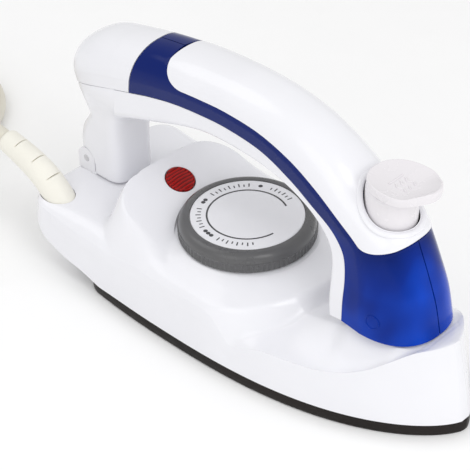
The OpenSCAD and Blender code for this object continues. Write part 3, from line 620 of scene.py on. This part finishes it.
def shell_half(x):
    """Half-width of the housing, with its round corners at the heel."""
    plan = np.where(x > -22, sole_half(x), mix(HALF_W, 36, ease(-22, -60, x)))
    return plan - fillet(np.minimum(x - HEEL_X, TAIL_R), TAIL_R)


def smooth_lookup(x, table, reach=2.2):
    """Lookup with its corners rounded over a short reach."""
    return sum(lookup(x + d * reach, table) * w for d, w in ((-1, 0.25), (0, 0.5), (1, 0.25)))


def edge_z(x):
    return np.where(x > -52, SOLE_T, smooth_lookup(x, TAIL_EDGE, 1.2))


def scoop_z(x, y):
    w = np.maximum(1, shell_half(x))
    flat = np.minimum(13.5, 0.7 * w)
    u = np.clip((np.abs(y) - flat) / (w - flat), 0, 1)
    return mix(smooth_lookup(x, SKIRT), smooth_lookup(x, SADDLE), (1 - u) ** 1.5)


def top_z(x, y):
    """Height of the housing's top: deck, hump with the lamp, flat under the dial, and scoop."""
    r = np.hypot(x - DIAL_X, y)
    s = np.where(r > 0, y / np.maximum(r, 1e-6), 0)
    flat = PLATFORM_Z - np.clip(r - DIAL_R, 0, None) / 13 * (2 + 4.5 * s * s)
    slope = np.minimum(LAMP_Z + (LAMP_X - x) * math.tan(math.radians(LAMP_TILT)), HUMP_TOP)
    hump = (flat + slope + np.sqrt((flat - slope) ** 2 + 1.2)) / 2 - 0.25
    raised = mix(hump, flat, ease(-12, 4, x))
    deck = DECK_Z - 3 * ease(-60, -20, x) + 4.4 * ease(-50, -28, x)
    outside = np.hypot(np.clip(HUMP_X - x, 0, None), np.clip(np.abs(y) - HUMP_HALF, 0, None))
    soft = mix(2.4, 9, ease(8, 30, np.abs(y)))
    behind = mix(deck, raised, ease(-soft / 2, soft / 2, HUMP_R - outside))
    front = np.where(x > DIAL_X, ease(SCOOP_FROM, SCOOP_FULL, r), 0)
    z = mix(behind, scoop_z(x, y), front)
    edge = mix(4, 8, ease(-90, -60, x))
    side_drop = fillet(np.clip(shell_half(x) - np.abs(y), 0, edge), edge) * (1 - ease(12, 30, x))
    return z - side_drop - 0.3 * fillet(np.clip(x - HEEL_X, 0, 4), 4)


def shell_grid(xs, inset, roof):
    """Cross-sections of the housing, or of its inner face under the roof, as a grid of points."""
    x = xs[:, None]
    w = shell_half(x) - inset
    draft = np.minimum(0.9, w / 3)
    bottom = edge_z(x)
    up = np.linspace(0, 1, WALL_ROWS, endpoint=False)[None, :]
    wall_y = w - draft * up
    wall_z = mix(bottom, top_z(x, w) - (ROOF if roof else 0), up)
    v = 1 - np.linspace(0, 1, TOP_ROWS, endpoint=False)[None, :] ** 1.45
    y = (w - draft) * v
    x_all = x + 0 * y
    z = top_z(x_all, y)
    if roof:
        for dx, dy in ((-2, 0), (2, 0), (0, 2), (0, -2)):
            z = np.minimum(z, top_z(x_all + dx, y + dy))
        z = np.where(np.hypot(x - DIAL_X, y) < POCKET_R + 4, np.minimum(z, PLATFORM_Z), z) - ROOF
    z = np.maximum(z, bottom + (0.2 if roof else 0.8)) + 0.3 * (1 - v * v)
    y = np.concatenate([wall_y, y], 1)
    z = np.concatenate([wall_z, z], 1)
    lean = 5.6 * (z - SOLE_T) / 30 * np.clip((x - 40) / 50, 0, None) ** 2
    half = np.stack([x - lean, y, z], 2)
    return np.concatenate([half * (1, -1, 1), half[:, ::-1]], 1)


def make_shell():
    """White housing, cut for the dial, its shaft, the lamp, the steam inlet and the sleeve."""
    tail = HEEL_X + 14 * np.linspace(0, 1, 40) ** 1.7
    middle = np.arange(-75.5, 78, 0.75)
    nose = 78 + 11.5 * np.sin(np.linspace(0, math.pi / 2, 44)[1:])
    xs = np.concatenate([tail, middle, nose])
    heel_wall = -88.2 + np.arange(len(xs)) * 0.005
    inner = np.where(xs > 60, mix(60, 85.5, (xs - 60) / 29.5), np.maximum(xs, heel_wall))
    verts, faces = cup(shell_grid(xs, 0, False), shell_grid(inner, SHELL_WALL, True))
    shell = build("shell", verts, faces, None, sharp=32)
    sleeve_hole = tool_cylinder(SLEEVE_R + 0.25, -7, 8, 64)
    sleeve_hole.data.transform(tilted(-82, RELIEF_Y, 27.4, -43))
    lamp_hole = tool_cylinder(LAMP_R + 0.35, -20, 20, 64)
    lamp_hole.data.transform(tilted(LAMP_X, 0, LAMP_Z, LAMP_TILT))
    cut(shell, [upright(POCKET_R, PLATFORM_Z, 62, DIAL_X, sides=192), upright(4, 10, 50, DIAL_X),
                lamp_hole, upright(4.6, 20, 60, VALVE_X, sides=64), sleeve_hole])
    shade(shell, 32)
    dress(shell, "base", ("body_shell",), WHITE)


def sole_outline(shrink):
    """Outline of the soleplate, drawn in by a distance, from the nose round the right side."""
    corner_x = NOSE_X - SOLE_L + CORNER_R
    xs = mix(NOSE_X - shrink * 1.3, corner_x, 1 - np.cos(np.linspace(0, math.pi / 2, 120)))
    side = np.stack([xs, np.maximum(0.05, sole_half(xs) - shrink)], 1)
    side[0, 1] = 0.05
    a = np.linspace(0, math.pi / 2, 14)[1:]
    width = float(sole_half(corner_x)) - shrink
    corner = np.stack([corner_x - (CORNER_R - shrink) * np.sin(a),
                       width - CORNER_R + CORNER_R * np.cos(a)], 1)
    half = np.concatenate([side, corner])
    return np.concatenate([half, (half * (1, -1))[::-1]])


def make_sole():
    """Soleplate with rounded edges and seven steam vents."""
    steps = [(1.4, 0.0), (0.5, 0.12), (0.12, 0.5), (0.0, 1.1), (0.0, SOLE_T - 0.5),
             (0.15, SOLE_T - 0.12), (0.6, SOLE_T)]
    rings = np.array([[(x, y, z) for x, y in sole_outline(shrink)] for shrink, z in steps])
    n, m = rings.shape[:2]
    faces = grid_faces(n, m, wrap=True) + span_faces(0, m)
    faces += [face[::-1] for face in span_faces((n - 1) * m, m)]
    sole = build("sole", rings.reshape(-1, 3), faces, None, sharp=35)
    vent_r, circle_r = 1.2, 9
    spots = [(VALVE_X + circle_r * math.cos(a), circle_r * math.sin(a))
             for a in np.radians(np.arange(30, 390, 60))]
    cut(sole, [upright(vent_r, -1, SOLE_T + 1, x, y, 32) for x, y in spots + [(VALVE_X, 0)]])
    shade(sole, 35)
    dress(sole, "base", ("soleplate",), SOLE)


make_shell()
make_sole()


# ---------- dial and lamp ----------

DISC_Z, MARK_R = 39.4, 17.4


def make_knob():
    """Grey rim: a finely ribbed band below a glossy shoulder."""
    low, top, seat = 32.6, 39.6, 37.9
    ribs_round = 84
    profile = [(3.1, low + 0.6), (22.6, low + 0.6), (22.8, low), (24.6, low), (24.9, low + 0.15)]
    profile += [(DIAL_R, z) for z in np.linspace(low + 0.4, low + 3.3, 6)]
    profile += [(24.95, low + 3.5), (24.7, low + 3.62), (24.66, low + 3.8)]
    profile += [(21.6 + 3.0 * math.cos(a), low + 3.9 + (top - low - 3.9) * math.sin(a))
                for a in np.radians(np.linspace(4, 86, 14))]
    profile += [(20.95, top), (20.62, top - 0.05), (20.56, top - 0.3), (20.56, seat),
                (20.4, seat - 0.1), (3.1, seat - 0.1)]

    def ribs(angle, r, z):
        if r < 24:
            return 0
        band = float(ease(low + 0.1, low + 0.5, z) * (1 - ease(low + 3.1, low + 3.5, z)))
        return 0.42 * band * (0.5 - 0.5 * np.cos(angle * ribs_round)) ** 0.6
    verts, faces = revolve(profile, DIAL_X, ribs_round * 8, ribs)
    build("knob", verts, faces, "dial", "knob_grey", ("dial_knob",), KNOB, sharp=48)


def make_disc():
    """White disc in the knob, with a softened edge."""
    profile = [(0.001, DISC_Z - 1.4), (20.4, DISC_Z - 1.4), (20.5, DISC_Z - 1.3),
               (20.5, DISC_Z - 0.35), (20.38, DISC_Z - 0.1), (20.1, DISC_Z)]
    profile += [(r, DISC_Z) for r in np.linspace(19.5, 0.5, 10)]
    verts, faces = revolve(profile, DIAL_X, 192)
    build("dial_face", verts, faces, "dial", "disc_white", ("dial_disc",), DISC, sharp=50)


def arc_band(inner, outer, first, last, n=90):
    """Outline of a band round the dial's axis between two angles in degrees."""
    a = np.radians(np.linspace(first, last, n))
    return ([(DIAL_X + outer * math.cos(t), outer * math.sin(t)) for t in a]
            + [(DIAL_X + inner * math.cos(t), inner * math.sin(t)) for t in a[::-1]])


def make_marks():
    """Printed marks: an open ring, one to three dots, and generic ticks between them."""
    shapes = [arc_band(14.1, 14.75, 62, 352)]
    dot_r, dot_step, tick_step = 0.8, 5.4, 6
    for centre, count in ((118, 1), (196, 2), (262, 3)):
        for k in range(count):
            a = math.radians(centre + (k - (count - 1) / 2) * dot_step)
            x, y = DIAL_X + MARK_R * math.cos(a), MARK_R * math.sin(a)
            shapes.append([(x + dot_r * math.cos(t), y + dot_r * math.sin(t))
                           for t in circle_angles(20)])
    for first, last in ((74, 104), (132, 182), (212, 248), (278, 322)):
        for k, a in enumerate(np.arange(first, last + 1, tick_step)):
            shapes.append(arc_band(16.5, 18.4 - 0.6 * (k % 2), a - 0.75, a + 0.75, 4))
    ring, *others = [build("mark", *flat_shape(s, DISC_Z - 0.02, 0.06), None) for s in shapes]
    marks = join(ring, *others)
    marks.name = "dial_marks"
    dress(marks, "dial", (), PRINT)


def make_lens():
    """Red lens: a low dome with straight ribs across it, in a plain rim."""
    rows, dome_r, rim_z, rib_pitch = 36, 4.95, 0.5, 1.3
    a = circle_angles(128)
    rings = []
    for r, z in ((4.5, -4), (5.35, -4), (LAMP_R, -3.9), (LAMP_R, -0.2), (LAMP_R, 0.35), (5.35, 0.62),
                 (5.1, 0.68), (dome_r, rim_z)):
        rings.append(level_ring(r * np.cos(a), r * np.sin(a), z))
    for k in range(1, rows + 1):
        r = dome_r * (1 - k / (rows + 0.5))
        x, y = r * np.cos(a), r * np.sin(a)
        groove = (0.5 - 0.5 * np.cos(2 * math.pi * x / rib_pitch)) ** 0.7
        dome = rim_z + 0.55 * (1 - (r / dome_r) ** 2)
        rings.append(level_ring(x, y, dome - 0.34 * groove * float(ease(dome_r, 4.5, r))))
    lens = build("lens", *capped_rings(rings), None, sharp=60)
    lens.data.transform(tilted(LAMP_X, 0, LAMP_Z, LAMP_TILT))
    dress(lens, "base", ("lamp_lens",), RED)


make_knob()
make_disc()
make_marks()
make_lens()


# ---------- handle ----------

TANK_Z, TANK_WALL = 33.9, 2.0
# The handle's side view at stations 0 (heel) to 17 (foot of the tank): its underside, the parting
# line between the white channel and the tank, the crown, and the half-width at the parting line
UNDER = [(-88, 60), (-84, 60), (-76, 60), (-66, 60.5), (-56, 64.2), (-43, 68.5), (-31, 72.5),
         (-19, 75.3), (-6, 75.6), (7, 74.6), (18, 72.3), (26.5, 69.3), (33, 65.3), (38, 60),
         (40.2, 54), (40.8, 48), (41, 40), (41.6, 33.2)]
PART = [(-88, 67), (-84, 68), (-76, 70.5), (-66, 73.5), (-55, 76.6), (-44, 79.5), (-32, 81.8),
        (-19, 82.8), (-7, 82.8), (8, 80.8), (21, 75.5), (31, 70), (39.5, 65.5), (44.5, 61),
        (46.9, 56.5), (48, 49.5), (48.2, 41.7), (48.3, TANK_Z)]
CROWN = [(-88.6, 77), (-85.5, 83.5), (-76, 89.8), (-64, 93), (-50, 95.6), (-40, 97), (-29, 98.3),
         (-17, 99), (-5, 99.2), (9, 98.2), (23, 95.2), (35.5, 89.2), (47.5, 80.7), (64, 71.2),
         (66.4, 66), (70.6, 56), (74.4, 45.5), (76.8, TANK_Z + 0.3)]
HALF = [8.8, 11.4, 12.6, 12.8, 13, 13, 13, 12.8, 12.6, 12.5, 12.5, 12.8, 13.4, 14, 14.6, 15.6,
        16.8, 17.3]
LAST, CAP_END = 17.0, 4.0
# Section above the parting line: straight up to SHOULDER of its height, then a rounded arch
ROUND, SHOULDER = 2.35, 0.3
INLAY_FROM, INLAY_TO, INLAY_ANGLE = 5.2, 13.8, 7.0


def upper_point(t, share, side, inset):
    """Point above the parting line at station t; all arguments broadcast together."""
    t, share, side = np.broadcast_arrays(t, share, side)
    p, q, w = along(PART, t), along(CROWN, t), along(HALF, t)
    h = np.linalg.norm(q - p, axis=-1)
    a = inset / h + share * (1 - 2 * inset / h)
    c = p + (q - p) * a[..., None]
    return np.stack([c[..., 0], side * (w - inset), c[..., 1]], -1)


def arc_point(t, f, s, inset):
    """Point on the arch, f degrees up from its side s."""
    f = np.radians(f)
    return upper_point(t, SHOULDER + (1 - SHOULDER) * np.clip(np.sin(f), 0, 1) ** (2 / ROUND),
                       s * np.clip(np.cos(f), 0, 1) ** (2 / ROUND), inset)


def flank_point(t, u, s, inset):
    """Point on the straight part of side s, u of the way up it."""
    return upper_point(t, SHOULDER * u, s * (0.94 + 0.06 * u), inset)


def inlay_edge(t):
    """Angle on the arch of the inlay's edge, which closes over the crown at both of its ends."""
    near = np.clip(np.minimum((t - INLAY_FROM) / 1.1, (INLAY_TO - t) / 0.9), 0, 1)
    return mix(89.9, INLAY_ANGLE, np.sqrt(1 - (1 - near) ** 2))


def tank_grid(ts, inset):
    """Sections of one tank half, from the inlay's edge down its side and in along the parting line."""
    top = np.minimum(inlay_edge(ts) - 0.25, 89.8)[:, None]
    f = top * (1 - np.linspace(0, 1, 34)[None, :])
    t = ts[:, None]
    return np.concatenate([
        arc_point(t + 0 * f, f, 1, inset),
        flank_point(t, np.linspace(0.9, 0, 8)[None, :], 1, inset),
        upper_point(t, 0, 0.94 * np.array([[0.85, 0.5, 0.2, 0.004]]), inset)], 1)


def loft_ends(a, b, n=200, close=0.35):
    """Stations from a to b with more of them near both ends."""
    u = np.linspace(0, 1, n)
    v = mix(u, 0.5 - 0.5 * np.cos(math.pi * u), close)
    return a + (b - a) * v


def make_tank(side):
    ts = loft_ends(CAP_END + 0.012, LAST, 230)
    inner_ts = mix(CAP_END + 0.15, LAST - 0.22, (ts - ts[0]) / (ts[-1] - ts[0]))
    verts, faces = cup(tank_grid(ts, 0) * (1, side, 1), tank_grid(inner_ts, TANK_WALL) * (1, side, 1))
    name, node = ("tank_l", "tank_left") if side > 0 else ("tank_r", "tank_right")
    tank = build(name, verts, faces, "handle", "tank_blue", (node,), BLUE, sharp=50)
    point, normal = surface_at(tank, (66, side * 60, 41), (60, 0, 41))
    join(tank, raised_ring(point, normal, 2.5, 0.22))
    shade(tank, 50)
    return tank


def raised_ring(point, normal, radius, thick):
    """Thin raised ring on a surface."""
    n = np.array(normal)
    u = np.cross(n, (0.1, 0.2, 1.0))
    u /= np.linalg.norm(u)
    v = np.cross(n, u)
    b = circle_angles(10)[:, None]
    rings = []
    for t in circle_angles(48):
        out = math.cos(t) * u + math.sin(t) * v
        rings.append(np.array(point) + radius * out + thick * (np.cos(b) * out + np.sin(b) * n))
    return build("ring", *closed_band(rings), None)


def surface_tree(obj):
    return BVHTree.FromObject(obj, bpy.context.evaluated_depsgraph_get())


def drop(tree, x, y):
    """Point in metres where a line straight down meets a surface, or None."""
    return tree.ray_cast(Vector((x, y, 120)) * MM, Vector((0, 0, -1)))[0]


def surface_at(obj, start, aim):
    """Point and normal, in millimetres, where a line from start toward aim meets an object."""
    ray = (Vector(aim) - Vector(start)).normalized()
    hit, normal, _, _ = surface_tree(obj).ray_cast(Vector(start) * MM, ray)
    return tuple(hit / MM), tuple(normal)


def make_inlay():
    """White inlay along the crown, with the hole for the button's stem."""
    first, end = INLAY_FROM + 0.09, INLAY_TO - 0.09
    ts = loft_ends(first, end, 220, 0.85)
    inner_ts = mix(first + 0.02, end - 0.02, (ts - first) / (end - first))
    across = np.linspace(0, 1, 34)[None, :]

    def grid(t, inset):
        low = np.minimum(inlay_edge(t) + 0.5, 89.9)[:, None]
        a = low + (90 - low) * across
        right = arc_point(t[:, None], a, -1, inset)
        left = arc_point(t[:, None], a, 1, inset)
        return np.concatenate([right, left[:, ::-1]], 1)
    inlay = build("inlay", *cup(grid(ts, -0.12), grid(inner_ts, TANK_WALL)), None, sharp=50)
    cut(inlay, [upright(9.35, 50, 110, VALVE_X, sides=96)])
    return inlay


def make_collar(under):
    """Raised rounded rim round the button's stem, following the slope of the pieces under it."""
    radius, half_w, half_h, sink = 10.35, 1.15, 1.0, 0.15
    trees = [surface_tree(o) for o in under]
    path = []
    for a in circle_angles(96):
        x, y = VALVE_X + radius * math.cos(a), radius * math.sin(a)
        hits = [drop(tree, x, y) for tree in trees]
        path.append((x, y, max(h.z / MM for h in hits if h is not None)))
    path = np.array(path)
    for _ in range(12):
        path[:, 2] = (np.roll(path[:, 2], 1) + 2 * path[:, 2] + np.roll(path[:, 2], -1)) / 4
    up = np.array((0, 0, 1.0))
    b = circle_angles(20)[:, None]
    rings = []
    for p in path:
        out = np.array((p[0] - VALVE_X, p[1], 0.0)) / radius
        rings.append(p - sink * up + half_w * np.cos(b) * out + half_h * np.sin(b) * up)
    return build("collar", *closed_band(rings), None)


tanks = [make_tank(1), make_tank(-1)]
inlay = make_inlay()
join(inlay, make_collar([inlay, *tanks]))
shade(inlay, 50)
dress(inlay, "handle", ("grip_inlay",), WHITE)


def cap_grid(ts, inset):
    """Sections of the rear cap, from the parting line on one side over to the other."""
    t = ts[:, None]
    flank = flank_point(t, np.linspace(0, 0.9, 8)[None, :], 1, inset)
    arch = arc_point(t, 89.5 * np.linspace(0, 1, 30)[None, :], 1, inset)
    half = np.concatenate([flank, arch], 1)
    return np.concatenate([half * (1, -1, 1), half[:, ::-1]], 1)


def make_cap():
    ts = loft_ends(0, CAP_END - 0.03, 90, 0.5)
    inner = cap_grid(mix(0.35, CAP_END - 0.15, ts / CAP_END), TANK_WALL) - (0, 0, TANK_WALL)
    verts, faces = cup(cap_grid(ts, 0), inner)
    build("heel_cap", verts, faces, "handle", "white_gloss", ("rear_cap",), WHITE, sharp=50)


make_cap()


def grip_grid(ts, inset):
    """Sections of the white channel, from the parting line down round its underside."""
    t = ts[:, None]

    def point(share, s):
        share, s, tt = np.broadcast_arrays(share, s, t)
        p, q, w = along(UNDER, tt), along(PART, tt), along(HALF, tt) * 0.93
        h = np.linalg.norm(q - p, axis=-1)
        c = p + (q - p) * (inset / h + share * (1 - inset / h))[..., None]
        return np.stack([c[..., 0], s * (w - inset), c[..., 1]], -1)
    a = np.radians(np.linspace(0, 90, 14))[None, :]
    half = np.concatenate([point(np.linspace(0.97, 0.33, 10)[None, :], 1),
                           point(0.3 * (1 - np.sin(a)), 0.8 + 0.2 * np.cos(a)),
                           point(0, np.array([[0.6, 0.4, 0.2, 0.05]]))], 1)
    return np.concatenate([half, (half * (1, -1, 1))[:, ::-1]], 1)


HINGE_X, HINGE_Z, KNUCKLE_R, EAR_IN, EAR_GAP = -84.8, 33.4, 4.1, 6.6, 0.35
# Sections of the post from the deck up: height, back, front, half-width
POST = [(28.6, -88.4, -67, 9.8), (33.5, -89, -66.95, 9.8), (38.5, -89.4, -66.9, 9.8),
        (43, -89, -66.8, 9.8), (47.5, -87.6, -66.6, 9.8), (51.5, -84.9, -66.4, 9.8),
        (54.8, -83, -66, 9.8), (58, -84.6, -64.9, 10), (61, -86, -62.8, 10.4),
        (63.5, -87, -59.4, 10.9), (66, -87.8, -55.5, 11.4), (70, -87.8, -53, 11.8),
        (74, -87.8, -53, 11.8)]


def make_post():
    """Post of the handle, soft-cornered in plan, that flares into the underside of the grip."""
    part_x, part_z = np.array(PART).T
    c, s = rounded(circle_angles(88), 4.2)
    rings = []
    for z, back, front, half in along(POST, np.linspace(0, len(POST) - 1, 80)):
        x = (back + front) / 2 + (front - back) / 2 * c
        # It stays inside the channel's width and below the parting line
        room = mix(20, 0.95 * np.interp(x, part_x, HALF), float(ease(61, 66, z)))
        top = np.interp(x, part_x, part_z) - 0.25
        rings.append(np.stack([x, np.clip(half * s, -room, room),
                               np.minimum(z, top + 0.001 * (z - 60))], 1))
    rings = np.array(rings)
    foot = rings[0].mean(0)
    rings[0] = foot + (rings[0] - foot) * (0.985, 0.97, 1)
    return build("post", *capped_rings(rings), None)


def on_hinge(tool):
    """Turns an upright tool cylinder onto the hinge's axis."""
    tool.data.transform(tilted(HINGE_X, 0, HINGE_Z, -90, "X"))
    return tool


def make_lower_handle():
    """Channel under the tank and cap, and the post down to the hinge's knuckle."""
    first = 3.2
    ts = loft_ends(first, LAST)
    inner = mix(first + 0.1, LAST - 0.25, (ts - first) / (LAST - first))
    channel = build("grip_lower", *cup(grip_grid(ts, 0), grip_grid(inner, TANK_WALL)), None)
    post = make_post()
    wide, knuckle_w, low = 15, EAR_IN - EAR_GAP, HINGE_Z - 10
    ear_room = wide - knuckle_w
    tools = []
    for y in (-wide, knuckle_w):
        tools.append(on_hinge(tool_cylinder(4.9, y, y + ear_room, 64)))
        tools.append(tool_box((HINGE_X - 8, y, low), (HINGE_X + 4.9, y + ear_room, HINGE_Z)))
        tools.append(tool_box((HINGE_X - 8, y, low), (HINGE_X, y + ear_room, HINGE_Z + 4.4)))
    tools.append(tool_box((-95, -wide, 20), (-79.6, wide, HINGE_Z)))
    cut(post, tools)
    knuckle = on_hinge(tool_cylinder(KNUCKLE_R, -knuckle_w, knuckle_w, 64))
    web = tool_box((HINGE_X, -knuckle_w, HINGE_Z - 3), (HINGE_X + 8, knuckle_w, HINGE_Z + 3))
    cut(post, [knuckle, web], "UNION")
    cut(post, [on_hinge(tool_cylinder(1.55, -20, 20, 48))])
    join(channel, post)
    shade(channel, 38)
    dress(channel, "handle", ("lower_handle",), WHITE)


make_lower_handle()


# ---------- steam button ----------

# From the stem's axis to the middles of the cap and of the mark on it
CAP_X, MARK_X = 5.25, 5.2
STEM_LOW, STEM_R, CAP_RIM = 70.4, 8.75, 87.6


def make_button():
    """Thumb button: a round stem that flares to a dished cap with a lifted front lip."""
    a = circle_angles(120)
    circle = STEM_R * np.stack([np.cos(a), np.sin(a)], 1)
    c, s = rounded(a, 2.25)
    forward = np.cos(a)
    cap = np.stack([CAP_X + 12.75 * c, 10.5 * s * (1 - 0.24 * ease(0.1, 1.0, forward))], 1)
    lip = 2.0 * ease(0.35, 1.0, forward)
    middle = cap.mean(0)
    rings = []

    def ring(xy, z):
        rings.append(level_ring(VALVE_X + xy[:, 0], xy[:, 1], z))
    for r, z in ((0.93, STEM_LOW), (0.985, STEM_LOW + 0.15), (1, STEM_LOW + 0.6), (1, 74), (1, 78),
                 (1, 79), (1, 80.2)):
        ring(circle * r, z)
    for u in np.linspace(0.08, 1, 18):
        blend = 1 - math.sqrt(1 - u ** 2)
        ring(mix(circle, cap, blend * 0.985), mix(80.6, 84.0, u) + 0.8 * blend + lip * blend * 0.7)
    for r, rise in ((0.998, -2.2), (1.006, -1.4), (1.008, -0.6), (1.0, -0.12), (0.985, 0.0),
                    (0.965, 0.02), (0.945, -0.08)):
        ring(middle + (cap - middle) * r, CAP_RIM + lip + rise)
    for r in np.linspace(0.91, 0.02, 26):
        share = r / 0.945
        dish = 1.7 * (1 - share ** 2)
        ring(middle + (cap - middle) * r, CAP_RIM - 0.1 + lip * share ** 2.5 - dish)
    button = build("button_cap", *capped_rings(rings), None)
    cut(button, [upright(1.52, STEM_LOW - 1, STEM_LOW + 8, VALVE_X, sides=32)])
    return button


def steam_mark(under):
    """Generic raised mark of three wavy lines beside a bar, laid on the dish of the cap."""
    tree = surface_tree(under)
    lines = [[(x, y + 0.5 * math.sin(x * 1.9)) for x in np.linspace(-2.6, 2.6, 22)]
             for y in (-2.4, 0, 2.4)]
    lines.append([(-4.0, y) for y in np.linspace(-3.4, 3.4, 14)])
    marks = []
    for line in lines:
        path = [tuple(drop(tree, VALVE_X + MARK_X + x, y) / MM) for x, y in line]
        marks.append(build("mark", *tube(path, 0.36, 10), None))
    return marks


button = make_button()
join(button, *steam_mark(button))
shade(button, 50)
dress(button, "button", ("steam_button",), BUTTON)


def make_spring():
    """Return spring with a closed turn at each end."""
    turns, coil_r, wire_r = 9, 2.9, 0.45
    low, high, closed = 50 + wire_r, 69.4 - wire_r, 0.98
    u = np.linspace(0, turns, 24 * turns + 1)
    z = np.interp(u, (0, 1, turns - 1, turns), (low, low + closed, high - closed, high))
    a = 2 * math.pi * u
    path = np.stack([VALVE_X + coil_r * np.cos(a), coil_r * np.sin(a), z], 1)
    return build("return_spring", *tube(path, wire_r, 12), "handle", "spring_steel",
                 ("button_spring",), STEEL, sharp=50)


# The spring sits between the guide and the washer, with a mesh of its own
spring = make_spring()
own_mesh(spring)


# ---------- carried-over parts ----------

CAD_LOOKS = {
    TUBE: ("heating_element",),
    STEEL: ("element_pins", "hinge_pin", "thermostat_shaft", "needle_valve", "spring_washer"),
    ALLOY: ("chamber_cover", "heat_shield"),
    ZINC: ("chamber_screws", "cover_screws", "clamp_screws"),
    MOULDED: ("steam_inlet", "lamp_holder", "cord_clamp", "valve_guide", "drip_nozzle"),
    SILICONE: ("inlet_seal",),
    CERAMIC: ("thermostat", "thermal_fuse", "terminal_block"),
    WHITE: ("rear_cover", "hinge_bracket"),
    GLASS: ("neon_lamp",),
    BROWN: ("wire_live",),
    BLUE_WIRE: ("wire_neutral",),
    CORD: ("inner_lead",),
    BRASS: ("plug_pins",)}
for look, names in CAD_LOOKS.items():
    for node in names:
        for material_slot in cad[node].material_slots:
            material_slot.material = look


# ---------- floor and light ----------

# Softboxes: place, aim, diameter in metres and watts
SOFTBOXES = [((0.62, -0.1, 0.62), (0, 0, 0.04), 0.55, 2.1),
             ((-0.5, -0.25, 0.75), (0, 0, 0.05), 0.6, 0.9),
             ((0.2, -0.8, 0.5), (0, 0, 0.03), 0.7, 0.9)]


def make_stage():
    """Plain floor, an even white surround and three softboxes."""
    half, drop = 1400, -0.02
    corners = [(-half, -half, drop), (half, -half, drop), (half, half, drop), (-half, half, drop)]
    floor = build("floor", corners, [[0, 1, 2, 3]], None)
    floor.data.materials.append(surface("floor_paper", (0.97, 0.97, 0.97), 0.75, 300, 0.03, 0.004, 0.03))
    world = bpy.data.worlds.new("studio")
    bpy.context.scene.world = world
    world.use_nodes = True
    background = world.node_tree.nodes["Background"]
    background.inputs["Color"].default_value = (1, 1, 1, 1)
    background.inputs["Strength"].default_value = 0.76
    for spot, aim, size, power in SOFTBOXES:
        lamp = bpy.data.lights.new("softbox", "AREA")
        lamp.shape = "DISK"
        lamp.size = size
        lamp.energy = power
        obj = bpy.data.objects.new("softbox", lamp)
        bpy.context.scene.collection.objects.link(obj)
        obj.location = spot
        obj.rotation_euler = (Vector(aim) - Vector(spot)).to_track_quat("-Z", "Y").to_euler()
    bpy.context.scene.view_settings.view_transform = "Standard"


make_stage()
